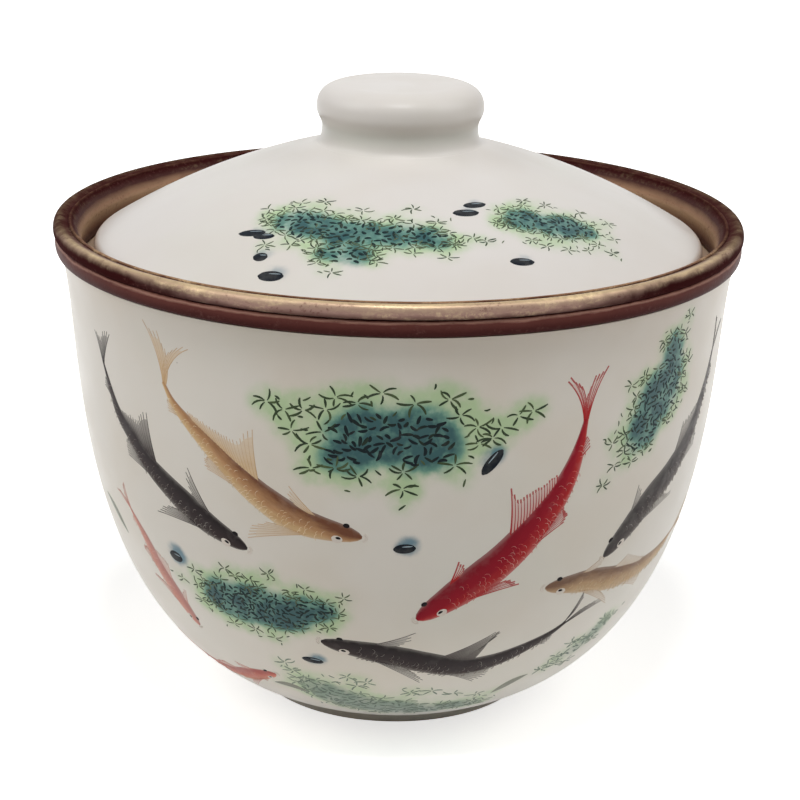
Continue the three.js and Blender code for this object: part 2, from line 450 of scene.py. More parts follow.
class Nodes:
    """Makes and joins the nodes of a material or of the world."""

    def __init__(self, tree):
        self.tree = tree

    def node(self, kind, inputs, **settings):
        made = self.tree.nodes.new(kind)
        for name, value in settings.items():
            setattr(made, name, value)
        for socket, value in inputs.items():
            self.put(made.inputs[socket], value)
        return made

    def put(self, socket, value):
        if isinstance(value, bpy.types.NodeSocket):
            self.tree.links.new(value, socket)
        else:
            socket.default_value = value

    def math(self, operation, first, second, clamp=False):
        inputs = {0: first, 1: second}
        return self.node("ShaderNodeMath", inputs, operation=operation, use_clamp=clamp).outputs[0]

    def span(self, value, low, high, to_low=0.0, to_high=1.0, blend="SMOOTHSTEP"):
        """Value carried from one range to another, held at its ends."""
        inputs = {"Value": value, "From Min": low, "From Max": high, "To Min": to_low, "To Max": to_high}
        return self.node("ShaderNodeMapRange", inputs, interpolation_type=blend).outputs["Result"]

    def seen(self, low, high):
        """A low strength for what lights the object, a high one for what camera, gloss and glass see."""
        path = self.node("ShaderNodeLightPath", {})
        share = path.outputs["Is Camera Ray"]
        for output in ("Is Glossy Ray", "Is Transmission Ray"):
            share = self.math("MAXIMUM", share, path.outputs[output])
        return self.span(share, 0.0, 1.0, low, high, blend="LINEAR")


class Finish(Nodes):
    """A node material round one shader."""

    def __init__(self, name, specular=0.5):
        self.material = bpy.data.materials.new(name)
        self.material.use_nodes = True
        super().__init__(self.material.node_tree)
        self.shader = self.tree.nodes["Principled BSDF"]
        self.shader.inputs["Specular IOR Level"].default_value = specular

    def attribute(self, name, output="Fac"):
        return self.node("ShaderNodeAttribute", {}, attribute_name=name).outputs[output]

    def place(self):
        return self.node("ShaderNodeTexCoord", {}).outputs["Object"]

    def noise(self, vector, scale, detail=3.0, rough=0.55):
        inputs = {"Vector": vector, "Scale": scale, "Detail": detail, "Roughness": rough}
        return self.node("ShaderNodeTexNoise", inputs).outputs["Fac"]

    def mix(self, share, first, second):
        """A colour between two others."""
        return self.node("ShaderNodeMix", {0: share, 6: first, 7: second}, data_type="RGBA").outputs[2]

    def mix_value(self, share, first, second):
        """A number between two others."""
        return self.node("ShaderNodeMix", {0: share, 2: first, 3: second}, data_type="FLOAT").outputs[0]

    def first_channel(self, shade):
        return self.node("ShaderNodeSeparateColor", {"Color": shade}).outputs[0]

    def ramp(self, value, stops):
        node = self.node("ShaderNodeValToRGB", {"Fac": value})
        points = node.color_ramp.elements
        for point, (place, shade) in zip(points, (stops[0], stops[-1])):
            point.position = place
            point.color = shade
        for place, shade in stops[1:-1]:
            points.new(place).color = shade
        return node.outputs["Color"]

    def bump(self, height, strength, distance):
        inputs = {"Height": height, "Strength": strength, "Distance": distance}
        self.put(self.shader.inputs["Normal"], self.node("ShaderNodeBump", inputs).outputs["Normal"])

    def done(self, base, roughness, metallic=0.0):
        for socket, value in (("Base Color", base), ("Roughness", roughness), ("Metallic", metallic)):
            self.put(self.shader.inputs[socket], value)
        return self.material


# Each wash: the soft patches it follows, its colour, the strengths between which it comes up and the
# most that it covers
WASH_LOOKS = (
    ("green", GREEN_WASH, 0.05, 0.85, 0.85),
    ("teal", SEA_WASH, 0.05, 0.62, 0.85),
    ("teal", TEAL_WASH, 0.38, 0.98, 0.94),
    ("blue", BLUE_WASH, 0.1, 0.9, 0.85),
    ("moss", MOSS_WASH, 0.05, 0.8, 0.88),
)


def porcelain(name, white, warm):
    """Glazed porcelain: cloudy white, a few fine iron specks, painted washes, painted brown shade and a bare
    biscuit foot.
    """
    finish = Finish(name, specular=0.25)
    place = finish.place()
    cloud = finish.span(finish.noise(place, scale=38.0), 0.35, 0.65)
    cool = finish.span(finish.noise(place, scale=24.0), 0.5, 0.75, 0.0, 0.6)
    base = finish.mix(cool, finish.mix(cloud, warm, white), PORCELAIN_COOL)
    base = finish.mix(finish.attribute("pooled"), base, POOLED_GLAZE)
    # Painted brown shade under the band and where lid and bowl meet
    base = finish.mix(finish.attribute("browned"), base, BROWN_SHADE)
    drift = finish.span(finish.noise(place, scale=330.0, detail=4.0), 0.3, 0.7, 0.65, 1.3)
    for kind, shade, low, high, most in WASH_LOOKS:
        broken = finish.math("MULTIPLY", finish.attribute(kind), drift)
        base = finish.mix(finish.span(broken, low, high, 0.0, most), base, shade)
    cells = finish.node("ShaderNodeTexVoronoi", {"Vector": place, "Scale": 330.0})
    rare = finish.span(finish.first_channel(cells.outputs["Color"]), 0.985, 0.988)
    speck = finish.math("MULTIPLY", rare, finish.span(cells.outputs["Distance"], 0.05, 0.08, 0.5, 0.0))
    glaze = finish.mix(speck, base, IRON_SPECK)
    bare = finish.attribute("bare")
    grain = finish.noise(place, scale=2600.0, detail=4.0)
    biscuit = finish.mix(finish.span(grain, 0.3, 0.7), BISCUIT, BISCUIT_DARK)
    ripple = finish.noise(place, scale=160.0, detail=2.0)
    height = finish.math("ADD", finish.math("MULTIPLY", ripple, 0.35), finish.math("MULTIPLY", bare, grain))
    finish.bump(height, strength=0.12, distance=0.0004)
    roughness = finish.mix_value(bare, finish.span(ripple, 0.3, 0.7, 0.28, 0.36), 0.8)
    return finish.done(finish.mix(bare, glaze, biscuit), roughness)


def bronze(name, bands, metal_bands):
    """Brown bronze: patina and painted light in bands, soot in hollows, painted side shade, and worn gold
    that is also painted highlight.
    """
    finish = Finish(name, specular=0.02)
    place = finish.place()
    streak = finish.noise(finish.attribute("streaks", "Vector"), scale=130.0, detail=6.0, rough=0.62)
    spots = finish.noise(place, scale=1500.0, detail=5.0, rough=0.7)
    grains = finish.noise(place, scale=420.0)
    shifted = finish.math("ADD", finish.attribute("across"), finish.span(streak, 0.25, 0.75, -0.012, 0.012))
    # Painted shade on the band's sides and back, with a ragged edge
    ragged = finish.math("ADD", finish.attribute("painted_shade"), finish.span(grains, 0.3, 0.7, -0.08, 0.08))
    unshaded = finish.span(ragged, 0.04, 0.9, 1.0, 0.0)
    base = finish.mix(unshaded, SOOT_AND_SHADE, finish.ramp(shifted, bands))
    # Worn gold streaks, strongest on the crown's top, that also stand for painted highlight there
    gold_streaks = finish.math("MULTIPLY", finish.span(streak, 0.45, 0.68), finish.span(spots, 0.4, 0.62, 0.0, 0.6))
    rubbed = finish.math("MULTIPLY", gold_streaks, finish.math("MULTIPLY", unshaded, finish.attribute("rub")))
    gilded = finish.mix(rubbed, base, RUBBED_GOLD_AND_HIGHLIGHT)
    between = finish.span(streak, 0.38, 0.52, 0.75, 0.0)
    dull = finish.math("MULTIPLY", finish.span(spots, 0.5, 0.68), between)
    stained = finish.mix(dull, gilded, DULL_BROWN)
    finish.bump(finish.math("ADD", spots, streak), strength=0.2, distance=0.0002)
    roughness = finish.mix_value(unshaded, 0.85, finish.span(spots, 0.3, 0.7, 0.36, 0.5))
    shine = finish.first_channel(finish.ramp(shifted, metal_bands))
    return finish.done(stained, roughness, finish.math("MULTIPLY", shine, unshaded))


# Tones at which an enamel is its belly, middle, back, back, line and line colour
TONE_STOPS = (0.0, 0.34, 0.66, 0.82, 0.9, 1.0)
# Brush marks are this much finer across a stroke than along it
BRUSH_STRETCH = (1.0, 3.2, 1.0)


def enamel(name, *shades):
    """Painted enamel: its tone goes from belly over middle to back, and on to the colour of fine lines."""
    belly, middle, back, line = (colour(*shade) for shade in shades)
    finish = Finish(name, specular=0.08)
    brush = finish.attribute("brush", "Vector")
    stretch = finish.node("ShaderNodeMapping", {"Vector": brush, "Scale": BRUSH_STRETCH}).outputs["Vector"]
    hairs = finish.noise(stretch, scale=420.0, detail=5.0, rough=0.65)
    blot = finish.noise(finish.place(), scale=520.0)
    tone = finish.math("ADD", finish.attribute("tone"), finish.span(hairs, 0.25, 0.75, -0.06, 0.06))
    paint = finish.ramp(tone, list(zip(TONE_STOPS, (belly, middle, back, back, line, line))))
    uneven = finish.span(blot, 0.25, 0.7, 0.975, 1.04)
    ink = finish.math("MULTIPLY", finish.attribute("ink"), uneven, clamp=True)
    finish.bump(hairs, strength=0.06, distance=0.0002)
    return finish.done(finish.mix(ink, PORCELAIN, paint), finish.span(blot, 0.3, 0.7, 0.3, 0.42))


# Enamels, each with the colours of belly, middle, back and fine lines
RED = enamel("enamel_red", (184, 50, 46), (148, 16, 36), (130, 10, 32), (200, 84, 72))
CORAL = enamel("enamel_coral", (212, 128, 104), (192, 92, 74), (166, 66, 58), (226, 160, 132))
OCHRE = enamel("enamel_ochre", (217, 187, 142), (184, 140, 100), (114, 72, 52), (236, 212, 172))
CHARCOAL = enamel("enamel_black", (62, 51, 49), (46, 36, 37), (31, 22, 24), (102, 90, 85))
TAN = enamel("enamel_tan", (206, 178, 142), (182, 150, 116), (122, 92, 74), (222, 200, 164))
FROND = enamel("enamel_frond", (122, 132, 98), (76, 88, 66), (24, 42, 44), (146, 158, 108))
LEAF = enamel("enamel_green", (104, 118, 80), (58, 72, 50), (18, 30, 34), (146, 158, 108))
MOSS = enamel("enamel_moss", (152, 164, 146), (128, 142, 126), (96, 112, 102), (170, 178, 156))
SLATE = enamel("enamel_slate", (26, 50, 68), (14, 26, 38), (8, 12, 18), (132, 158, 172))
DARK = enamel("enamel_dark", (34, 24, 24), (24, 18, 20), (16, 12, 14), (60, 50, 50))
PALE = enamel("enamel_pale", (226, 218, 208), (222, 213, 203), (214, 204, 194), (236, 230, 222))


# Turned pieces

# How strong the painted brown shade is under the band and how far that reaches, on the ledge, and at the
# lid's edge
RIM_SHADE = 0.2
RIM_SHADE_REACH = 6.0
LEDGE_SHADE = 0.8
LID_EDGE_SHADE = 0.6
# Strength and reach of the glaze that pools on the bowl's floor, inside the lid and at the knob's waist
FLOOR_POOL, FLOOR_POOL_REACH = 0.7, 7
LID_POOL, LID_POOL_REACH = 0.6, 3
KNOB_POOL, KNOB_POOL_REACH = 0.35, 1.6
# Bare biscuit on the foot: how far inside its ring and how high, as a share of its rounding
BARE_INSIDE = 0.2
BARE_HEIGHT = 0.6
# How much finer the band's streaks are across the section than round it
STREAK_STRETCH = 4.0
# Degrees from the front between which painted shade grows on the band's sides and at its back, and the most
# there
SIDE_SHADE_TURNS = (22, 46)
BACK_SHADE_TURNS = (52, 78)
BACK_SHADE = 0.72
# The point of the dome that its rounded edge aims at
EDGE_AIM = 8


def make_bowl():
    """The body, and the skin of its outside that is painted."""
    outside = body_curve()
    middle, root = (0, FOOT_HEIGHT), (FOOT_RADIUS, FOOT_HEIGHT)
    recess, inner_edge = (FOOT_RADIUS - FOOT_WIDTH, FOOT_HEIGHT), (FOOT_RADIUS - FOOT_WIDTH, 0)
    outer_edge = (FOOT_RADIUS, 0)
    foot = joined(
        curve(middle, recess, steps=FLAT_STEPS)[:-1],
        rounded(middle, recess, inner_edge, FOOT_COVE),
        rounded(recess, inner_edge, outer_edge, FOOT_ROUND),
        rounded(inner_edge, outer_edge, root, FOOT_ROUND),
        rounded(outer_edge, root, outside[0], FOOT_COVE),
    )
    ledge_root, ledge_edge = (TONGUE_INSIDE, LEDGE_HEIGHT), (LEDGE_INSIDE, LEDGE_HEIGHT)
    ledge_under = (LEDGE_INSIDE, LEDGE_HEIGHT - LEDGE_THICKNESS)
    corbel_foot = LEDGE_HEIGHT - LEDGE_THICKNESS - CORBEL_HEIGHT
    gallery = joined(
        (TONGUE_OUTSIDE, BAND_BOTTOM - FIT_GAP),
        (TONGUE_OUTSIDE, MOUTH_HEIGHT),
        (TONGUE_INSIDE, MOUTH_HEIGHT),
        ledge_root,
        rounded(ledge_root, ledge_edge, ledge_under, LEDGE_ROUND),
        ledge_under,
    )
    wall = inside_of(outside, np.linspace(HEEL_WALL, SIDE_WALL, len(outside)))
    wall = wall[(wall[:, 0] > FLOOR_RADIUS) & (wall[:, 1] < corbel_foot)][::-INSIDE_SKIP]
    floor = level_at_axis(wall, FOOT_HEIGHT + FLOOR_WALL)
    section = joined(foot, outside, gallery, wall, floor)
    made = Turned("porcelain_bowl", section, BODY_COLUMNS)
    rows = np.arange(len(section))
    radius, height = section.T
    first = len(foot)
    within = rows >= first + len(outside)
    on_ring = (radius > FOOT_RADIUS - FOOT_WIDTH - BARE_INSIDE) & (height < FOOT_ROUND * BARE_HEIGHT)
    # Painted brown shade under the band, which also stands for brown reflected from it, fading downwards
    stain_and_shade = (rows >= first) * RIM_SHADE * np.exp((height - BAND_BOTTOM) / RIM_SHADE_REACH)
    pool = np.exp(-((radius - FLOOR_RADIUS) / FLOOR_POOL_REACH) ** 2)
    made.set_rows(
        bare=(rows < first) & on_ring,
        browned=np.where(within, LEDGE_SHADE * (height > corbel_foot), stain_and_shade),
        pooled=FLOOR_POOL * within * pool * (height < FLOOR_RADIUS),
    )
    return made, Skin(outside, outside[:, 1])


def make_band():
    """The band: two beads outside, a fine bead on the crown, and skirts on both sides of the tongue."""
    groove_radius = BODY_RADIUS + GROOVE_WALL
    bead_height = MOUTH_HEIGHT - SKIRT_HEIGHT / 2
    inner_bead = (BODY_RADIUS - INNER_BEAD_INSET, BAND_TOP - INNER_BEAD_DROP)
    skirt_radius = BAND_INSIDE + BAND_WALL
    groove = (groove_radius, MOUTH_HEIGHT)
    widest = (CROWN_RADIUS, MOUTH_HEIGHT + CROWN_WAIST)
    top = (BODY_RADIUS, BAND_TOP)
    lip = (inner_bead[0] - INNER_BEAD, inner_bead[1])
    flare_foot = (BAND_INSIDE, MOUTH_HEIGHT - LIP_FLARE_DROP)
    lower_bead = half_ellipse((groove_radius, bead_height), BEAD_BULGE, SKIRT_HEIGHT / 2, -90, 90)
    under_crown = curve(groove, (CROWN_RADIUS, MOUTH_HEIGHT), widest, steps=ROUND_STEPS)
    crown = curve(widest, (CROWN_RADIUS, BAND_TOP), top, steps=BEAD_STEPS)
    fine_bead = half_ellipse(inner_bead, INNER_BEAD, INNER_BEAD, 0, 180)
    flare = curve(lip, (BAND_INSIDE, MOUTH_HEIGHT), flare_foot, steps=BEAD_STEPS)
    skirt = curve(flare_foot, (BAND_INSIDE, SKIRT_BOTTOM), steps=FLAT_STEPS)
    shown = joined((BODY_RADIUS, BAND_BOTTOM), lower_bead, under_crown, crown, fine_bead, flare, skirt)
    hidden = joined((skirt_radius, SKIRT_BOTTOM), (skirt_radius, MOUTH_HEIGHT), (BODY_RADIUS, MOUTH_HEIGHT))
    section = joined(shown, hidden)
    made = Turned("bronze_rim", section, BODY_COLUMNS, closes=True)
    across = run_length(section) / run_length(shown)[-1]

    def place(point):
        """How far across the band a point of its section lies, where 1 is the end of what shows."""
        return float(across[np.argmin(np.linalg.norm(section - np.array(point), axis=1))])

    bead_top, crown_side, crown_top = place(groove), place(widest), place(top)
    bead_start, bead_end = place(fine_bead[0]), place(fine_bead[-1])
    bead_middle = (bead_start + bead_end) / 2
    wall_places = bead_end + (1 - bead_end) * np.array((0.2, 0.4, 0.55, 0.75, 0.88))
    groove_end = bead_top + (crown_side - bead_top) * 0.25
    crown_middle = (crown_side + crown_top) / 2
    # Colours across the band hold painted light: shade under the lower bead and a highlight on its top edge,
    # a highlight towards the crown's top, and a highlight band on the inner wall
    bands = [
        (0.0, colour(50, 24, 24)), (bead_top * 0.4, colour(70, 35, 33)),
        (bead_top * 0.74, colour(93, 53, 48)), (bead_top * 0.84, colour(158, 118, 104)),
        (bead_top * 0.91, colour(114, 74, 64)), (bead_top * 0.97, SOOT_AND_SHADE), (groove_end, SOOT_AND_SHADE),
        (crown_side, colour(142, 113, 104)), (crown_middle, colour(170, 145, 123)),
        (crown_top - 0.02, colour(194, 170, 134)), ((crown_top + bead_start) / 2, colour(112, 80, 66)),
        (bead_start, SOOT_AND_SHADE), (bead_middle, colour(156, 120, 92)), (bead_end, SOOT_AND_SHADE),
        *zip(wall_places.tolist(), (colour(70, 43, 40), colour(154, 121, 96), colour(188, 157, 126),
                                    colour(140, 105, 84), colour(94, 60, 52))),
        (1.0, colour(92, 60, 50)),
    ]
    shine = [(0.0, 0.1), (bead_top, 0.2), (crown_side, 0.4), (crown_top, 0.6), (bead_start, 0.3),
             (bead_end, 0.0), (wall_places[0], 0.0), (wall_places[2], 0.6), (1.0, 0.3)]
    # Where worn gold and painted highlight show, most on the crown's top
    rub_places = [bead_top, crown_side, crown_top, bead_start, bead_end, wall_places[0]]
    made.set_rows(across=across, rub=np.interp(across, rub_places, [0, 0.7, 1, 0.7, 0.4, 0]))
    made.set_streaks(STREAK_STRETCH)
    # Painted shade darkens under the crown towards the sides, and over it at the back
    turn = np.degrees(np.abs(made.angle))
    along = across[made.row]
    side_shade = np.interp(turn, SIDE_SHADE_TURNS, [0, 1]) * np.interp(
        along, [bead_top, groove_end, crown_side, crown_middle, crown_top], [0, 1, 1, 0.5, 0])
    back_shade = np.interp(turn, BACK_SHADE_TURNS, [0, BACK_SHADE]) * np.interp(
        along, [groove_end, crown_side, bead_end, wall_places[0]], [0, 1, 1, 0])
    set_attribute(made.piece, "painted_shade", np.maximum(side_shade, back_shade))
    metal_bands = [(at, (level, level, level, 1.0)) for at, level in shine]
    made.piece.data.materials.append(bronze("bronze_band", bands, metal_bands))
    return made


def make_lid():
    """The lid, and the skin of its dome that is painted."""
    dome = dome_curve()
    seat_edge, edge_bottom = (LID_RADIUS - LID_SEAT, LEDGE_HEIGHT), (LID_RADIUS, LEDGE_HEIGHT)
    seat_rim = (KNOB_FOOT, SEAT_TOP)
    hollow = inside_of(dome, LID_WALL)
    hollow = hollow[hollow[:, 0] < seat_edge[0]][::INSIDE_SKIP]
    crown = level_at_axis(hollow, SEAT_TOP - LID_CROWN_WALL)
    painted = dome[dome[:, 0] < LID_RADIUS - LID_EDGE_ROUND]
    cove_pull = (KNOB_FOOT + SEAT_PULL_REACH, DOME_TOP + SEAT_PULL_LIFT)
    section = joined(
        np.vstack([hollow, crown])[::-1], seat_edge,
        rounded(seat_edge, edge_bottom, dome[0], LID_EDGE_ROUND),
        rounded(edge_bottom, dome[0], dome[EDGE_AIM], LID_EDGE_ROUND),
        painted,
        curve(dome[-1], cove_pull, seat_rim, steps=BEAD_STEPS),
        curve(seat_rim, (0, SEAT_TOP), steps=FLAT_STEPS),
    )
    made = Turned("porcelain_lid", section, LID_COLUMNS)
    inside = np.arange(len(section)) < len(hollow) + len(crown)
    radius, _ = section.T
    at_edge = np.clip((radius - LID_RADIUS) / LID_EDGE_ROUND + 1, 0, 1)
    pool = np.exp(-((radius - LID_RADIUS + LID_SEAT) / LID_POOL_REACH) ** 2)
    # Painted shade at the lid's edge, where it meets the band
    browned = np.where(inside, 0, LID_EDGE_SHADE * at_edge)
    made.set_rows(bare=0, browned=browned, pooled=LID_POOL * inside * pool)
    return made, Skin(painted, painted[:, 0])


def make_knob():
    """The button knob: a waist on the lid's seat under a rounded head."""
    waist = np.array((KNOB_RADIUS - KNOB_WAIST_INSET, SEAT_TOP + KNOB_WAIST_HEIGHT))
    shoulder = np.array((KNOB_RADIUS - KNOB_SHOULDER_WIDTH, KNOB_TOP - KNOB_CROWN))
    widest = np.array((KNOB_RADIUS, shoulder[1] - KNOB_SHOULDER_HEIGHT))
    flare_middle = (waist[1] + widest[1]) / 2
    section = joined(
        (0, SEAT_TOP),
        curve((KNOB_FOOT, SEAT_TOP), (waist[0], SEAT_TOP + KNOB_FOOT_LIFT), waist, steps=BEAD_STEPS),
        curve(waist, (waist[0], flare_middle), (widest[0], flare_middle), widest, steps=BEAD_STEPS * 2),
        curve(widest, (KNOB_RADIUS, shoulder[1]), shoulder, steps=BEAD_STEPS * 2),
        curve(shoulder, (shoulder[0] / 2, KNOB_TOP), (0, KNOB_TOP), steps=BEAD_STEPS),
    )
    made = Turned("porcelain_knob", section, KNOB_COLUMNS)
    pool = np.exp(-((section[:, 1] - waist[1]) / KNOB_POOL_REACH) ** 2)
    made.set_rows(bare=0, browned=0, pooled=KNOB_POOL * pool)
    return made


# Painted fish

# Width of a fish's body, as a share of its most, along the way from mouth to tail
GIRTHS = ((0, 0.1), (0.012, 0.28), (0.04, 0.48), (0.09, 0.66), (0.19, 0.88), (0.32, 1.0), (0.48, 0.95),
          (0.64, 0.79), (0.79, 0.54), (0.88, 0.36), (0.95, 0.21), (1.0, 0.13))
# Where along the body a fish with a taper starts and stops growing slimmer than that
TAPER_PLACES = (0.3, 0.6)
FISH_STEPS = 72
FISH_COLUMNS = 9
RAY_STEPS = 7
CURVE_STEPS = 24
# How high the layers of paint stand on the glaze
WEB_LIFT = 0.025
RAY_LIFT = 0.035
BODY_LIFT = 0.05
LINE_LIFT = 0.075
DOT_LIFT = 0.09
# Tones from the edge of the belly to that of the back
FLANK_PLACES = (-1, -0.6, 0, 0.5, 1)
FLANK_TONES = (0.0, 0.18, 0.4, 0.6, 0.72)
# How the flank grows paler towards the tail and darker towards the mouth: places along it and shares there
TAIL_PALING = ((0.45, 0.95), (1, 0.6))
HEAD_DARKENING = ((0, 0.08, 0.2), (1, 0.7, 0))
# How much thinner the paint is at the edge of a body, and how close to the edge that stays
SOFT_EDGE = 0.25
SOFT_EDGE_POWER = 6
# The near eye, and the far one over the edge of the back: share of the length and half-widths across
NEAR_EYE = (0.088, -0.62)
FAR_EYE = (0.066, 0.98)
# How far the pale ring is set off from the near eye
EYE_RING_SHIFT = 0.22
# The mouth's arcs: how far they turn to either side, in radians, their distances and their half-width
MOUTH_ARC = 1.25
MOUTH_REACHES = (0.52, 0.82)
MOUTH_LINE = 0.09
THINNEST_LINE = 0.03
# Scales: the stretch of the body that has them, the gaps between rings and rows, and how far they go across
SCALED_STRETCH = (0.14, 0.92)
SCALE_RING_GAP = 0.9
SCALE_ROW_GAP = 0.7
SCALED_BELLY = 0.88
SCALED_BACK = 0.2
# The share of scales that are drawn at the belly's edge, and how fast it drops from there to the back
SCALE_CHANCE = 0.85
SCALE_FADE = 0.45
SCALE_SHAPE = 0.045 * np.array((0.5, 1, 1.1, 1, 0.8, 0.4))
# Fins: how much shorter or longer a ray may be; how thin a ray, how faint a ray and how faint a web is from
# its root to its end; and the tone of a web, next to that of its rays
RAY_LENGTHS = (0.94, 1.06)
RAY_TAPER = (1, 0.6)
RAY_FADE = (1, 0.85)
WEB_FADE = (1, 0.5)
WEB_TONE = 0.4
# Roots of the tail's outermost and innermost rays along the body, and ray lengths from one to the other
TAIL_ROOTS = (0.99, 0.975)
TAIL_LENGTHS = np.array((1, 0.86, 0.5))
TAIL_RAYS = 7
# The fins that every fish has: where they start and end, the side they are on, their ray lengths, leans
# and count
SIDE_FINS = (
    (0.19, 0.215, 1, (5.2, 4.0, 2.3), (36, 26, 16), 5),
    (0.2, 0.245, -1, (9.6, 7.4, 4.2), (26, 18, 10), 8),
    (0.5, 0.62, -1, (6.4, 4.8, 2.2), (15, 12, 9), 9),
    (0.86, 0.91, -1, (2.0, 1.6, 1.0), (30, 24, 18), 5),
)
# Strength of their web, next to that of the fin on the back
SIDE_WEB = 0.65
# The enamels of a fish, in order, are its own, a dark one and a pale one
DARK_SLOT = 1
PALE_SLOT = 2
# Millimetres to a radian and to a millimetre, on a middling ring of the bowl
SHEET_SCALE = (50, 1)
# Every stroke's brush marks start somewhere in this range
SEED_RANGE = (0, 50)


def through(points, count):
    """Evenly spaced points on a smooth curve through given points."""
    points = np.asarray(points, float)
    padded = np.vstack([2 * points[0] - points[1], points, 2 * points[-1] - points[-2]])
    share = np.linspace(0, 1, CURVE_STEPS, endpoint=False)[:, None]
    parts = []
    for before, start, end, after in zip(padded, padded[1:], padded[2:], padded[3:]):
        parts.append(0.5 * (2 * start + (end - before) * share
                            + (2 * before - 5 * start + 4 * end - after) * share ** 2
                            + (3 * start - before - 3 * end + after) * share ** 3))
    dense = np.vstack([*parts, points[-1:]])
    along = run_length(dense * SHEET_SCALE)
    even = np.linspace(0, along[-1], count)
    return np.stack([np.interp(even, along, dense[:, axis]) for axis in range(2)], axis=1)


def spread_over(values, count):
    """Values drawn out evenly to a longer list."""
    return np.interp(np.linspace(0, 1, count), np.linspace(0, 1, len(values)), values)


class Fish:
    """One fish: a body along a spine from mouth to tail, with fins, eyes, mouth and scales."""

    def __init__(self, skin, kind, turn):
        self.skin = skin
        self.kind = kind
        self.paint = Paint(skin)
        self.back, self.ink, self.size = kind["back"], kind["ink"], kind["size"]
        self.random = random.Random(kind["seed"])
        self.line = through([skin.spot(angle + turn, height) for angle, height in kind["spine"]], FISH_STEPS)
        self.share = np.linspace(0, 1, FISH_STEPS)
        slimmer = np.interp(self.share, TAPER_PLACES, (1, kind["taper"]))
        self.half = np.interp(self.share, *zip(*GIRTHS)) * slimmer * kind["girth"] / 2
        scale = skin.radius(self.line[:, 1]).mean()
        self.length = run_length(self.line * (scale, 1))[-1]

    def heading(self, share):
        """Direction of the tail at a share of the length, in radians from the right."""
        scale = np.stack([self.skin.radius(self.line[:, 1]), np.ones(FISH_STEPS)], axis=1)
        ahead = np.gradient(self.line, axis=0) * scale
        return math.atan2(*(np.interp(share, self.share, ahead[:, axis]) for axis in (1, 0)))

    def at(self, share, across):
        """Place on the body: across is in half-widths, positive towards the back."""
        middle = np.array([np.interp(share, self.share, self.line[:, axis]) for axis in range(2)])
        side = self.heading(share) + self.back * math.pi / 2
        return self.skin.toward(middle, side, across * np.interp(share, self.share, self.half))

    def body(self):
        """The body: dark along the back, paler towards the tail, with a soft edge."""
        across = np.linspace(-1, 1, FISH_COLUMNS) * self.back
        flank = np.interp(across, FLANK_PLACES, FLANK_TONES)[None, :]
        paler = np.interp(self.share, *TAIL_PALING)[:, None]
        darker = self.kind["dark_head"] * np.interp(self.share, *HEAD_DARKENING)[:, None]
        tone = np.minimum(flank * paler + darker, FLANK_TONES[-1])
        edge = 1 - SOFT_EDGE * np.abs(across[None, :]) ** SOFT_EDGE_POWER
        self.paint.stroke(self.line, self.half, BODY_LIFT, tone, self.ink * edge, columns=FISH_COLUMNS,
                          seed=self.random.uniform(*SEED_RANGE))

    def fin(self, start, end, side, lengths, leans, rays, look, curl=10.0, root=0.8):
        """Rays along one side with a thin web between them; leans are degrees out from the tail."""
        width, web, tone = look
        lines = []
        for along, length, lean in zip(np.linspace(start, end, rays), spread_over(lengths, rays),
                                       spread_over(leans, rays)):
            step_length = length * self.random.uniform(*RAY_LENGTHS) / RAY_STEPS
            place = self.at(along, side * root)
            line = [place]
            for step in range(RAY_STEPS):
                turn = lean + curl * (step / (RAY_STEPS - 1) - 0.5)
                angle = self.heading(along) + side * self.back * math.radians(turn)
                place = self.skin.toward(place, angle, step_length)
                line.append(place)
            lines.append(line)
        taper = np.linspace(*RAY_TAPER, RAY_STEPS + 1)
        fade = np.linspace(*RAY_FADE, RAY_STEPS + 1)[:, None] * self.ink
        for line in lines:
            seed = self.random.uniform(*SEED_RANGE)
            self.paint.stroke(line, width * taper, RAY_LIFT, tone, fade, seed=seed)
        grid = np.array(lines)[:, :-1]
        wash = web * self.ink * np.linspace(*WEB_FADE, RAY_STEPS)[None, :]
        brush = np.concatenate([grid * SHEET_SCALE, np.zeros((*grid.shape[:2], 1))], axis=2)
        self.paint.sheet(grid, WEB_LIFT, tone * WEB_TONE, wash, brush)

    def fins(self):
        """The fin on the back, and then the others."""
        look = self.kind["look"]
        start, end, *rays = self.kind["dorsal"]
        self.fin(start, end, 1, *rays, look)
        thin_look = (look[0], look[1] * SIDE_WEB, look[2])
        for stretch, (start, end, side, lengths, *rays) in zip((*self.kind["breast"], 1, 1), SIDE_FINS):
            self.fin(start, end, side, np.array(lengths) * self.size * stretch, *rays, thin_look)

    def tail(self):
        """Two lobes of rays that grow shorter towards the fork."""
        for side, (length, lean, curl, fan) in zip((1, -1), self.kind["tail"]):
            rays = (length * TAIL_LENGTHS, (lean, lean - fan), TAIL_RAYS)
            self.fin(*TAIL_ROOTS, side, *rays, self.kind["look"], curl, root=0.5)

    def eyes(self):
        """A dark eye in a pale ring, and the dark bump of the other one."""
        eye = self.at(*NEAR_EYE)
        heading = self.heading(NEAR_EYE[0])
        ring = self.skin.toward(eye, heading - self.back * math.pi / 4, EYE_RING_SHIFT * self.size)
        for place, length, width, lift, slot in (
                (ring, 1.75, 1.5, LINE_LIFT, PALE_SLOT),
                (eye, 0.86, 0.76, DOT_LIFT, DARK_SLOT),
                (self.at(*FAR_EYE), 1.05, 0.8, DOT_LIFT, DARK_SLOT)):
            length, width = length * self.size, width * self.size
            self.paint.disc(place, length, width, math.degrees(heading), lift, slot=slot)

    def mouth(self):
        """Two pale arcs in front of the head."""
        tip = self.at(0.0, 0.0)
        forward = self.heading(0.0) + math.pi
        arc = np.linspace(-MOUTH_ARC, MOUTH_ARC, 9)
        for distance in MOUTH_REACHES:
            line = [self.skin.toward(tip, forward + turn, distance * self.size) for turn in arc]
            width = MOUTH_LINE * self.size * np.cos(arc * 0.8) + THINNEST_LINE
            self.paint.stroke(line, width, LINE_LIFT, 0.5, 1.0, slot=PALE_SLOT)

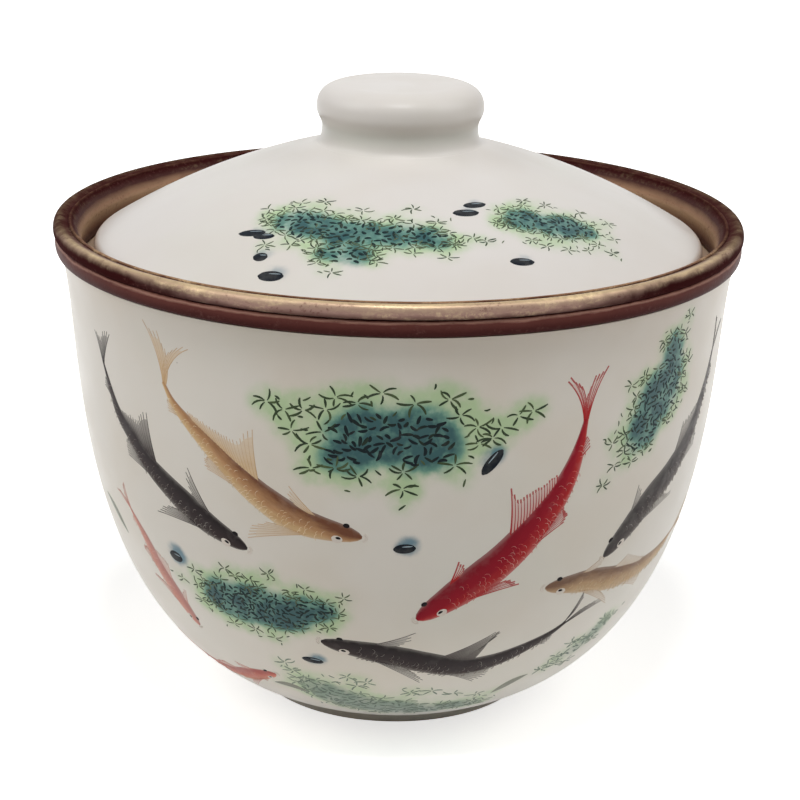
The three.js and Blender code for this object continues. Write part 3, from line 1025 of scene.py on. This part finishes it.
    def scales(self):
        """Broken crescents in the line colour, fewer towards the back."""
        for share in np.arange(*SCALED_STRETCH, SCALE_RING_GAP / self.length):
            half = np.interp(share, self.share, self.half)
            for level in np.arange(-SCALED_BELLY * half, SCALED_BACK * half, SCALE_ROW_GAP):
                if self.random.random() > SCALE_CHANCE - SCALE_FADE * (level / half + SCALED_BELLY):
                    continue
                stray = self.random.uniform(-0.3, 0.3) * SCALE_RING_GAP / self.length
                centre = self.at(share + stray, level / half)
                facing = self.heading(share) + self.random.uniform(-0.5, 0.5)
                size = self.random.uniform(0.42, 0.66)
                turns = np.linspace(-1.2, self.random.uniform(0.3, 1.2), len(SCALE_SHAPE))
                line = [self.skin.toward(centre, facing + turn, size) for turn in turns]
                self.paint.stroke(line, SCALE_SHAPE, LINE_LIFT, 1.0, self.random.uniform(0.5, 1.0) * self.ink)


# What a fish is, where its row in the shoal doesn't say otherwise
USUAL_FISH = dict(taper=1.0, ink=1.0, dark_head=0.0, size=1.0, breast=(1, 1))
# The shoal of one side. Spines go from mouth to tail, in degrees from the front and millimetres of height;
# back is 1 where the back is to the left of the way to the tail. A dorsal fin has its start and end along
# the body, its ray lengths, their leans and their count; a tail has the length, lean, curl and fan of its
# two lobes. A look is the half-width of a ray, the strength of the web and their tone. Taper is how slim
# the tail end is, ink how much the paint covers, dark_head how much darker the head is, size that of eyes,
# mouth and side fins, and breast the length of the two breast fins, all next to the usual.
SHOAL = (
    dict(name="red_fish", palette=RED, slot="enamel_red", girth=6.3, back=1, seed=11,
         look=(0.22, 0.42, 0.14), breast=(0.85, 0.85),
         spine=((4.5, 29.8), (12.2, 35.1), (18.7, 39.8), (24.6, 45.7), (28.7, 51.2), (31.0, 56.7),
                (32.2, 62.6)),
         dorsal=(0.48, 0.74, (8.4, 5.0, 4.6, 4.2, 3.5, 2.9, 2.4, 1.9, 1.2), (46, 44, 42, 38, 34), 17),
         tail=((8.6, 38, 34, 28), (8.8, 10, 24, 26))),
    dict(name="ochre_fish", palette=OCHRE, slot="enamel_ochre", girth=5.2, taper=0.9, back=-1, seed=12,
         look=(0.1, 0.9, 0.2), dark_head=0.35,
         spine=((-5.2, 44.9), (-15.6, 46.9), (-21.5, 49.8), (-26.9, 53.5), (-31.6, 57.2), (-38.1, 62.4),
                (-40.6, 66.0)),
         breast=(1.2, 1.15), dorsal=(0.46, 0.8, (8.6, 5.0, 3.8, 3.2, 2.6, 1.8), (50, 34, 28, 20, 14), 22),
         tail=((8.6, 70, 46, 42), (10.2, -12, 26, 28))),
    dict(name="black_fish", palette=CHARCOAL, slot="enamel_black", girth=5.0, taper=0.76, back=-1,
         seed=13, look=(0.12, 1.0, 0.5), breast=(1.6, 1.0),
         spine=((-26.0, 40.4), (-33.8, 43.6), (-40.9, 47.5), (-46.7, 51.0), (-50.1, 54.0), (-54.4, 57.9),
                (-58.1, 65.4)),
         dorsal=(0.5, 0.74, (8.8, 5.0, 3.2, 1.4), (48, 34, 26, 20), 14),
         tail=((6.6, 54, 12, 46), (5.4, -2, 12, 34))),
    dict(name="low_black_fish", palette=CHARCOAL, slot="enamel_black", girth=5.2, back=1, seed=14,
         look=(0.1, 0.9, 0.45), breast=(1.3, 1.1),
         spine=((-13.9, 24.4), (-2.3, 22.6), (5.8, 20.8), (14.4, 19.0), (20.9, 19.5), (27.1, 21.1),
                (32.9, 23.2), (36.5, 25.1)),
         dorsal=(0.45, 0.6, (10.0, 7.2, 4.8), (50, 54, 60), 14),
         tail=((6.8, 34, 14, 20), (8.2, 16, 14, 20))),
    dict(name="high_black_fish", palette=CHARCOAL, slot="enamel_black", girth=5.5, back=1, seed=15,
         look=(0.1, 0.8, 0.4), ink=0.95,
         spine=((41.1, 36.7), (49.8, 44.0), (56.6, 48.1), (61.3, 51.8), (64.3, 55.3), (67.4, 60.6),
                (69.3, 66.3)),
         dorsal=(0.5, 0.72, (5.4, 3.4, 1.4), (34, 28, 22), 12),
         tail=((6.0, 22, 14, 20), (6.0, 26, 14, 20))),
    dict(name="tan_fish", palette=TAN, slot="enamel_ochre", girth=4.9, back=1, seed=16,
         look=(0.08, 0.36, 0.3), dark_head=0.3,
         spine=((28.7, 33.5), (37.9, 32.9), (45.0, 31.7), (53.4, 31.0), (61.2, 31.9), (69.0, 34.3)),
         dorsal=(0.4, 0.62, (3.6, 2.4, 1.2), (40, 34, 28), 12),
         tail=((6.0, 26, 14, 23), (6.0, 26, 14, 23))),
    dict(name="slim_red_fish", palette=CORAL, slot="enamel_red", girth=3.3, back=-1, seed=17,
         look=(0.09, 0.4, 0.3), ink=0.74, size=0.7,
         spine=((-44.4, 21.0), (-47.1, 26.0), (-50.3, 31.3), (-52.7, 36.0), (-56.0, 40.4)),
         dorsal=(0.4, 0.6, (3.6, 2.6, 1.4), (30, 26, 20), 8), tail=((4.6, 24, 14, 23), (4.6, 24, 14, 23))),
    dict(name="under_red_fish", palette=CORAL, slot="enamel_red", girth=3.8, back=-1, seed=18,
         look=(0.09, 0.4, 0.4), ink=0.95, size=0.75,
         spine=((-27.6, 14.3), (-34.2, 12.6), (-42.2, 10.9), (-51.6, 10.7), (-59.0, 12.1)),
         dorsal=(0.4, 0.62, (3.2, 2.4, 1.4), (34, 28, 22), 8), tail=((4.6, 26, 14, 23), (4.6, 26, 14, 23))),
)


def paint_fish(skin, side, turn):
    """The shoal of one side of the bowl, carried round it by an angle in degrees."""
    for row in SHOAL:
        kind = {**USUAL_FISH, **row}
        made = Fish(skin, kind, turn)
        made.fins()
        made.tail()
        made.body()
        made.scales()
        made.mouth()
        made.eyes()
        piece = made.paint.piece(f"{kind['name']}_{side}", (kind["palette"], DARK, PALE))
        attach(piece, "bowl")


# Painted weed and pebbles

# Width of a leaf along it, as a share of its most; how high it stands; how flat leaves lie, next to any
# direction; how far they bend, in radians; and the share of a leaf that is bent the other way
LEAF_SHAPE = np.array((0.35, 0.8, 1.0, 0.95, 0.5))
LEAF_LIFT = 0.045
LEAF_FLATNESS = 0.6
LEAF_BEND = 0.7
BEND_START = 0.4
# Leaves are drawn from these ranges. Lengths and widths are shares of the patch's leaf length, apart from
# the widths in a core, which are shares of the patch's own width of leaf.
CORE_LENGTHS, CORE_WIDTHS, CORE_TONES = (0.42, 0.8), (0.8, 1.2), (0.58, 0.76)
SPRIG_LENGTHS, SPRIG_WIDTHS, SPRIG_TONES = (0.7, 1.1), (0.13, 0.18), (0.2, 0.48)
LOOSE_LENGTHS, LOOSE_WIDTHS, LOOSE_TONES = (0.35, 0.6), (0.12, 0.17), (0.2, 0.45)
# How far loose leaves lie from their sprig and sprigs from their listed place, in leaf lengths, and how much
# less that is up and down
LOOSE_DISTANCES = (1.1, 1.6)
SPRIG_SHIFTS = (0.0, 0.2)
SHIFT_FLATNESS = 0.8
# How far a core's leaves stray and how near they may stand, as shares of the gap between them
CORE_STRAY = 0.4
CORE_CROWDING = 0.62
# The wash under each of them: its reach, as a share of a leaf, and the range of its strength
WASH_REACH = 0.66
WASH_STRENGTHS = (0.5, 1.2)
# How far out a core's fringe stands, next to the core's edge, and how clear of its leaves, in leaf lengths
FRINGE_REACH = (1.05, 1.3)
FRINGE_CLEARANCE = 0.5
# How many leaves a sprig has and how many loose ones lie about it; how far from its middle leaves start, in
# leaf lengths; how unevenly they are spread; how long upright ones are; and how much longer level ones are
SPRIG_COUNTS = (4, 5, 5, 6)
LOOSE_COUNTS = (0, 1, 1, 2)
SPRIG_HEART = 0.12
SPRIG_WANDER = 0.25
UPRIGHT_LENGTH = 0.62
LEVEL_GAIN = 0.38


class Weed:
    """One patch of water weed: a dense core of short leaves with sprigs round it."""

    def __init__(self, skin, kind, seed):
        self.skin = skin
        self.kind = kind
        self.leaf = kind["leaf"]
        self.taken = []
        self.random = random.Random(seed)
        self.paint = Paint(skin)

    def any_direction(self):
        return self.random.uniform(0, 2 * math.pi)

    def leaf_at(self, place, direction, length, width, tone, start=0.0):
        """One slender leaf that starts some way from a place, with the green wash that it stands on."""
        flat = math.atan2(math.sin(direction) * LEAF_FLATNESS, math.cos(direction))
        bend = self.random.uniform(-LEAF_BEND, LEAF_BEND)
        line = []
        for share in np.linspace(0, 1, len(LEAF_SHAPE)):
            line.append(self.skin.toward(place, flat + bend * (share - BEND_START), start + share * length))
        seed = self.random.uniform(*SEED_RANGE)
        self.paint.stroke(line, LEAF_SHAPE * width / 2, LEAF_LIFT, tone, 1.0, seed=seed)
        self.skin.wash("green", line[len(line) // 2], self.leaf * self.kind["spread"], self.kind["green"])

    def core(self, angle, mark, half_width, half_height, tilt):
        """Leaves set close together inside an ellipse, over the patch's own wash."""
        gap = self.leaf * self.kind["gap"]
        for row, up in enumerate(np.arange(-half_height, half_height + gap, gap)):
            for right in np.arange(-half_width + gap * 0.5 * (row % 2), half_width + gap, gap):
                right_moved = right + self.random.uniform(-CORE_STRAY, CORE_STRAY) * gap
                up_moved = up + self.random.uniform(-CORE_STRAY, CORE_STRAY) * gap
                if (right_moved / half_width) ** 2 + (up_moved / half_height) ** 2 > 1:
                    continue
                place = self.within(angle, mark, tilt, right_moved, up_moved)
                if self.crowded(place, CORE_CROWDING * gap):
                    continue
                self.taken.append(place)
                length = self.leaf * self.random.uniform(*CORE_LENGTHS)
                direction = self.any_direction()
                width = self.leaf * self.kind["bold"] * self.random.uniform(*CORE_WIDTHS)
                self.leaf_at(place, direction, length, width, self.random.uniform(*CORE_TONES), -length / 2)
                strength = self.random.uniform(*WASH_STRENGTHS) * self.kind["stain_and_shade"]
                self.skin.wash(self.kind["wash"], place, self.leaf * WASH_REACH, strength)

    def fringe(self, angle, mark, half_width, half_height, tilt):
        """Sprigs along the edge of a core, where no core has leaves."""
        sprigs = round(self.kind["fringe"] * math.pi * (half_width + half_height) / self.leaf)
        for turn in np.arange(sprigs) * 2 * math.pi / max(sprigs, 1):
            out = self.random.uniform(*FRINGE_REACH)
            right, up = half_width * out * math.cos(turn), half_height * out * math.sin(turn)
            place = self.within(angle, mark, tilt, right, up)
            if not self.crowded(place, FRINGE_CLEARANCE * self.leaf):
                self.sprig(place)

    def within(self, angle, mark, tilt, right, up):
        """A place to the right of and above a core's middle, with the core tilted."""
        lean = math.radians(tilt)
        return self.skin.moved(self.skin.spot(angle, mark), right * math.cos(lean) - up * math.sin(lean),
                               right * math.sin(lean) + up * math.cos(lean))

    def crowded(self, place, gap):
        """Whether a leaf of the core already stands within a gap of a place."""
        scale = (self.skin.radius(place[1]), 1)
        return any(np.linalg.norm((place - other) * scale) < gap for other in self.taken)

    def sprig(self, centre):
        """A few leaves that spread from one point, and loose ones about them."""
        leaves = self.random.choice(SPRIG_COUNTS)
        first = self.any_direction()
        for index in range(leaves):
            turn = (index + self.random.uniform(-SPRIG_WANDER, SPRIG_WANDER)) * 2 * math.pi
            direction = first + turn / leaves
            reach_out = UPRIGHT_LENGTH + LEVEL_GAIN * abs(math.cos(direction))
            length = self.leaf * reach_out * self.random.uniform(*SPRIG_LENGTHS)
            width = self.leaf * self.random.uniform(*SPRIG_WIDTHS)
            tone = self.random.uniform(*SPRIG_TONES)
            self.leaf_at(centre, direction, length, width, tone, self.leaf * SPRIG_HEART)
        for _ in range(self.random.choice(LOOSE_COUNTS)):
            place = self.near(centre, *LOOSE_DISTANCES)
            direction = self.any_direction()
            length = self.leaf * self.random.uniform(*LOOSE_LENGTHS)
            width = self.leaf * self.random.uniform(*LOOSE_WIDTHS)
            self.leaf_at(place, direction, length, width, self.random.uniform(*LOOSE_TONES))

    def near(self, place, least, most):
        """A place within some leaf lengths of another."""
        away = self.any_direction()
        distance = self.leaf * self.random.uniform(least, most)
        return self.skin.moved(place, distance * math.cos(away), distance * math.sin(away) * SHIFT_FLATNESS)


# Each patch: its enamel and its wash; the length of a leaf; the gap between a core's leaves, their width and
# the spread of green round every leaf, as shares of that length; the strengths of green and of the wash; how
# thick the fringe is; its cores (place, half-width, half-height, tilt) and its single sprigs. Places are
# degrees from the front and millimetres, of height on the bowl and of radius on the lid.
FROND_WEED = dict(palette=FROND, wash="teal")
MOSS_WEED = dict(palette=MOSS, wash="moss", leaf=1.8, bold=0.2, fringe=0.7)
LID_WEED = dict(FROND_WEED, leaf=1.6, gap=0.68, bold=0.32, spread=0.8, green=0.08, stain_and_shade=0.33, fringe=0.9)
WEEDS = (
    dict(name="wide_weed", palette=LEAF, wash="teal", leaf=2.4, gap=0.52, bold=0.21, spread=0.62,
         green=0.32, stain_and_shade=0.42, fringe=0.15,
         cores=((-3.2, 62.3, 6.5, 3.6, 0), (3.8, 61.3, 5.5, 4.0, -6), (-7.7, 59.3, 4.0, 2.2, 10)),
         sprigs=((-20.6, 66.3), (-17.6, 65.3), (-16.6, 62.3), (-9.6, 68.2), (-10.6, 66.2), (-1.7, 69.2),
                 (8.3, 68.2), (3.3, 67.2), (13.3, 63.2), (17.2, 63.2), (22.2, 65.2), (19.6, 64.8),
                 (15.6, 61.4), (13.3, 60.3), (9.3, 57.3), (1.3, 56.3), (1.3, 53.3), (-13.6, 56.3),
                 (-9.6, 56.3), (-13.6, 60.3), (-14.6, 65.3), (-5.7, 55.3), (10.3, 65.2), (-5.7, 67.2))),
    dict(FROND_WEED, name="low_weed", leaf=1.5, gap=0.54, bold=0.25, spread=0.9, green=0.12, stain_and_shade=0.37,
         fringe=0.8,
         cores=((-30.5, 29.6, 6.2, 3.2, -8), (-22.6, 29.6, 6.0, 3.4, -12), (-15.1, 30.5, 3.6, 1.8, 0)),
         sprigs=((-31.5, 35.6), (-29.5, 34.6), (-22.6, 36.5), (-39.4, 33.7), (-43.4, 30.8), (-39.5, 27.7),
                 (-15.6, 34.5), (-11.6, 32.5), (-8.6, 33.5), (-11.6, 27.5), (-23.6, 23.6), (-32.5, 24.7),
                 (-36.5, 31.7), (-26.6, 34.6), (-18.6, 33.5), (-17.6, 26.6), (-27.6, 24.6), (-35.5, 27.7))),
    dict(MOSS_WEED, name="foot_weed", gap=0.66, spread=0.9, green=0.07, stain_and_shade=0.42,
         cores=((-17.4, 12.6, 3.6, 2.1, -26), (-12.0, 10.2, 5.2, 3.2, -18), (-3.0, 8.4, 6.4, 3.4, -8),
                (8.0, 7.2, 6.5, 2.2, 2), (18.0, 7.6, 4.0, 1.4, 8)),
         sprigs=((-23.2, 18.2), (-22.0, 16.4), (-20.0, 14.8), (-9.8, 16.3), (-7.6, 14.4), (-5.4, 15.6),
                 (4.5, 12.9), (9.5, 13.2), (15.0, 12.0), (21.7, 10.8))),
    dict(MOSS_WEED, name="edge_weed", gap=0.7, spread=0.8, green=0.05, stain_and_shade=0.2,
         cores=((45.0, 17.3, 4.6, 1.9, 28), (50.0, 20.6, 2.6, 1.4, 36)),
         sprigs=((37.1, 14.3), (40.1, 16.3), (47.2, 19.3), (50.2, 22.3), (42.0, 19.3), (45.6, 14.2))),
    dict(FROND_WEED, name="side_weed", leaf=1.6, gap=0.58, bold=0.23, spread=0.8, green=0.09, stain_and_shade=0.28,
         fringe=0.7,
         cores=((51.9, 68.3, 2.8, 4.6, 4), (49.0, 63.0, 5.4, 4.4, 24), (45.6, 58.6, 4.2, 3.4, 30)),
         sprigs=((55.5, 75.3), (48.4, 72.3), (41.3, 66.3), (42.3, 62.3), (38.3, 57.3), (39.3, 53.4),
                 (37.3, 50.4), (47.4, 55.4), (41.2, 55.4), (43.4, 53.2), (56.6, 62.3), (56.6, 67.3),
                 (54.5, 72.3), (44.3, 67.3), (53.5, 59.3), (41.3, 58.3))),
)
LID_WEEDS = (
    dict(LID_WEED, name="lid_weed",
         cores=((-24.6, 33.8, 6.2, 3.2, -4), (-11.1, 35.0, 6.0, 3.0, -4), (1.5, 35.0, 5.6, 2.4, 0),
                (9.2, 36.0, 2.8, 1.6, 0), (-11.8, 39.4, 4.4, 2.0, 0)),
         sprigs=((-40.0, 31.7), (-24.3, 27.9), (-10.9, 29.5), (4.4, 28.5), (11.1, 32.0), (18.9, 36.0),
                 (21.8, 37.0), (11.1, 40.0), (-4.4, 41.0), (-13.2, 43.4), (-17.1, 41.9), (-25.7, 38.8),
                 (-31.6, 39.8), (-36.2, 34.7), (-32.1, 28.8), (-1.4, 31.0), (14.0, 37.0), (3.3, 39.0))),
    dict(FROND_WEED, name="small_lid_weed", leaf=1.45, gap=0.66, bold=0.32, spread=0.9, green=0.07,
         stain_and_shade=0.4, fringe=1.1,
         cores=((37.3, 33.4, 3.4, 2.4, -16), (45.2, 36.3, 4.4, 2.6, -14), (50.2, 38.2, 2.2, 1.5, -10)),
         sprigs=((32.4, 29.9), (43.1, 28.8), (49.0, 30.8), (57.0, 34.6), (61.1, 38.6), (29.5, 33.9),
                 (33.5, 37.9), (36.0, 39.6), (40.6, 41.0), (45.3, 42.0), (49.4, 41.4), (51.2, 43.7),
                 (56.2, 41.6), (41.2, 29.8), (27.6, 33.0))),
    dict(LID_WEED, name="back_lid_weed", cores=((174, 34, 6.0, 2.8, 0), (187, 35, 5.0, 2.4, 0)),
         sprigs=((160, 33), (166, 29), (174, 28), (183, 29), (192, 30), (198, 35), (193, 40), (183, 41),
                 (172, 41), (164, 38), (201, 38))),
)
# Long leaves: their two ends and their width
LEAVES = ((-68.0, 39.4, -60.8, 34.1, 1.6), (-29.7, 11.7, -20.7, 10.8, 1.6), (26.0, 10.3, 33.5, 13.9, 1.8))
# Pebbles: place, length, width and the angle of the long way
BOWL_PEBBLES = ((15.8, 57.4, 5.0, 1.9, 52), (1.9, 43.1, 3.5, 1.7, 4), (-43.6, 34.9, 2.9, 2.0, -8),
                (-16.5, 19.8, 3.6, 1.5, -6))
LID_PEBBLES = ((-37.3, 37.7, 4.6, 1.7, 20), (-33.5, 37.9, 3.6, 1.5, 16), (-30.2, 42.1, 2.4, 2.0, 10),
               (-25.2, 45.4, 4.2, 2.3, 8), (25.1, 28.2, 3.9, 1.6, 0), (20.6, 30.0, 4.3, 1.9, -4),
               (27.2, 41.9, 4.0, 1.8, -10), (205, 34, 3.8, 1.7, 30), (156, 38, 4.0, 1.8, -20))
# The pale streak on a pebble and the blue wash round it: how far above the middle, as a share of the
# pebble's width, and where along it, as shares of its length; then the streak's half-widths
STREAK_RISE, STREAK_STEPS = 0.22, (-0.1, 0.12, 0.36)
HALO_RISE, HALO_STEPS = 0.3, (0.0, 0.3)
HALO_REACH = 0.56
STREAK_SHAPE = 0.12 * np.array((0.3, 0.8, 1, 1, 1, 0.8, 0.3))
LONG_LEAF_STEPS = 15
LONG_LEAF_BOW = 0.6
FIRST_SEED = 100


def paint_weeds(skin, patches, body, side, turn):
    """Patches of weed on one side of a piece, carried round it by an angle in degrees."""
    for number, kind in enumerate(patches):
        patch = Weed(skin, kind, seed=FIRST_SEED + number)
        for angle, *rest in kind["cores"]:
            patch.core(angle + turn, *rest)
        for angle, *rest in kind["cores"]:
            patch.fringe(angle + turn, *rest)
        for angle, mark in kind["sprigs"]:
            patch.sprig(patch.near(skin.spot(angle + turn, mark), *SPRIG_SHIFTS))
        piece = patch.paint.piece(f"{kind['name']}_{side}", (kind["palette"],))
        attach(piece, body)


def paint_leaves(skin, side, turn):
    """Long single leaves near the foot and the edge of the pattern."""
    patch = Paint(skin)
    share = np.linspace(-1, 1, LONG_LEAF_STEPS)
    for start_angle, start_height, end_angle, end_height, width in LEAVES:
        middle = ((start_angle + end_angle) / 2, (start_height + end_height) / 2 + LONG_LEAF_BOW)
        ends = ((start_angle, start_height), middle, (end_angle, end_height))
        line = through([skin.spot(angle + turn, height) for angle, height in ends], len(share))
        half_width = (1 - share ** 2) * width / 2 + THINNEST_LINE
        patch.stroke(line, half_width, LEAF_LIFT, tone=0.3, ink=0.7, columns=5)
        for place in line[::3]:
            skin.wash("green", place, spread=1.1, strength=0.25)
    piece = patch.piece(f"loose_leaves_{side}", (LEAF,))
    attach(piece, "bowl")


def paint_pebbles(skin, pebbles, body, name, turn, halo):
    """Dark ovals with a pale streak, and a blue wash round their upper side."""
    patch = Paint(skin)
    for angle, mark, length, width, heading in pebbles:
        place = skin.spot(angle + turn, mark)
        patch.disc(place, length, width, heading, LEAF_LIFT, tone=0.5, ink=0.97)
        along = np.array((math.cos(math.radians(heading)), math.sin(math.radians(heading))))
        above = np.array((-along[1], along[0]))
        rise = STREAK_RISE * width * above
        ends = [skin.moved(place, *(rise + step * length * along)) for step in STREAK_STEPS]
        patch.stroke(through(ends, len(STREAK_SHAPE)), STREAK_SHAPE, LINE_LIFT, tone=1.0, ink=0.8)
        for step in HALO_STEPS:
            shadow = skin.moved(place, *(HALO_RISE * width * above + step * length * along))
            skin.wash("blue", shadow, width * HALO_REACH, halo)
    piece = patch.piece(name, (SLATE,))
    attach(piece, body)


def show_washes(made, skin):
    """Puts the soft patches on the vertices of the painted side of a turned piece."""
    first = np.argmin(np.linalg.norm(made.section - skin.points[0], axis=1))
    painted = (made.row >= first) & (made.row < first + len(skin.run))
    for kind in dict.fromkeys(look[0] for look in WASH_LOOKS):
        values = np.zeros(len(made.row))
        values[painted] = skin.wash_strength(kind, made.angle[painted], skin.run[made.row[painted] - first])
        set_attribute(made.piece, kind, values)


# The covered bowl

bowl, bowl_skin = make_bowl()
lid, lid_skin = make_lid()
knob = make_knob()
band = make_band()

for side, turn in (("front", 0), ("back", 180)):
    paint_fish(bowl_skin, side, turn)
    paint_weeds(bowl_skin, WEEDS, "bowl", side, turn)
    paint_leaves(bowl_skin, side, turn)
    paint_pebbles(bowl_skin, BOWL_PEBBLES, "bowl", f"pebbles_{side}", turn, halo=1.3)
paint_weeds(lid_skin, LID_WEEDS, "lid", "top", 0)
paint_pebbles(lid_skin, LID_PEBBLES, "lid", "lid_pebbles", 0, halo=0.35)
show_washes(bowl, bowl_skin)
show_washes(lid, lid_skin)

bowl.piece.data.materials.append(porcelain("glazed_body", PORCELAIN, PORCELAIN_WARM))
for made, name in ((lid, "glazed_lid"), (knob, "glazed_knob")):
    made.piece.data.materials.append(porcelain(name, LID_WHITE, LID_WARM))
for made, node, body, slot in (
        (bowl, "bowl", "bowl", "porcelain_body"),
        (band, "rim_band", "bowl", "bronze_band"),
        (lid, "lid", "lid", "porcelain_lid"),
        (knob, "lid_knob", "lid", "porcelain_lid")):
    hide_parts(node)
    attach(made.piece, body)


# Floor, light and camera

FLOOR_REACH = 4.0
FLOOR_WHITE = colour(240, 239, 236)
# Strength of the floor's own white under the object, and the distances between which it grows to full
FLOOR_GLOW = 0.64
GLOW_START = 0.1
GLOW_END = 0.3
AMBIENT = 0.02
LAMP_DISTANCE = 1.0
# Lamps: name, degrees round from the front, degrees up, size in metres and watts
LAMPS = (
    ("front_light", 0, 70, 0.2, 4.6),
    ("left_light", -76, 40, 0.65, 4.35),
    ("right_light", 82, 40, 0.65, 3.85),
)


def make_floor():
    """A pale floor that shows the object's shadow and is otherwise as white as the background."""
    corners = np.array([(-1, -1, 0), (1, -1, 0), (1, 1, 0), (-1, 1, 0)]) * FLOOR_REACH
    floor = mesh_object("floor", corners, [(0, 1, 2, 3)])
    finish = Finish("pale_floor")
    finish.tree.nodes.remove(finish.shader)
    plain = finish.node("ShaderNodeBsdfDiffuse", {"Color": FLOOR_WHITE})
    distance = finish.node("ShaderNodeVectorMath", {0: finish.place()}, operation="LENGTH").outputs["Value"]
    level = finish.span(distance, GLOW_START, GLOW_END, FLOOR_GLOW, 1.0, blend="LINEAR")
    strength = finish.math("MULTIPLY", level, finish.seen(0.0, 1.0))
    glow = finish.node("ShaderNodeEmission", {"Strength": strength})
    both = finish.node("ShaderNodeAddShader", {0: plain.outputs[0], 1: glow.outputs[0]})
    finish.put(finish.tree.nodes["Material Output"].inputs["Surface"], both.outputs[0])
    floor.data.materials.append(finish.material)


def make_world():
    """Faint light from all round, and a white background."""
    world = bpy.data.worlds.new("studio")
    bpy.context.scene.world = world
    world.use_nodes = True
    nodes = Nodes(world.node_tree)
    background = nodes.tree.nodes["Background"]
    background.inputs["Color"].default_value = (1, 1, 1, 1)
    nodes.put(background.inputs["Strength"], nodes.seen(AMBIENT, 1.0))


def soft_box(name, azimuth, elevation, size, watts):
    """A square lamp that faces the bowl, at degrees round from the front and up."""
    lamp = bpy.data.lights.new(name, "AREA")
    lamp.size = size
    lamp.energy = watts
    holder = bpy.data.objects.new(name, lamp)
    turn, rise = math.radians(azimuth), math.radians(elevation)
    toward = Vector((math.sin(turn) * math.cos(rise), -math.cos(turn) * math.cos(rise), math.sin(rise)))
    holder.location = VIEW_TARGET + toward * LAMP_DISTANCE
    holder.rotation_euler = toward.to_track_quat("Z", "Y").to_euler()
    bpy.context.scene.collection.objects.link(holder)


def make_camera():
    """The camera, as it was fitted to the photograph."""
    camera = bpy.data.cameras.new("camera")
    camera.sensor_width = SENSOR_WIDTH
    camera.lens = SENSOR_WIDTH * FOCAL_PIXELS / PICTURE_PIXELS
    viewer = bpy.data.objects.new("camera", camera)
    backward = Vector((0, -math.cos(VIEW_ELEVATION), math.sin(VIEW_ELEVATION)))
    upward = Vector((0, math.sin(VIEW_ELEVATION), math.cos(VIEW_ELEVATION)))
    facing = Matrix((Vector((1, 0, 0)), upward, backward)).transposed().to_4x4()
    place = Matrix.Translation(VIEW_TARGET + backward * VIEW_DISTANCE)
    viewer.matrix_world = place @ facing @ Matrix.Rotation(VIEW_ROLL, 4, "Z")
    bpy.context.scene.collection.objects.link(viewer)
    bpy.context.scene.camera = viewer


make_floor()
make_world()
for lamp in LAMPS:
    soft_box(*lamp)
make_camera()
bpy.context.scene.view_settings.view_transform = "Standard"
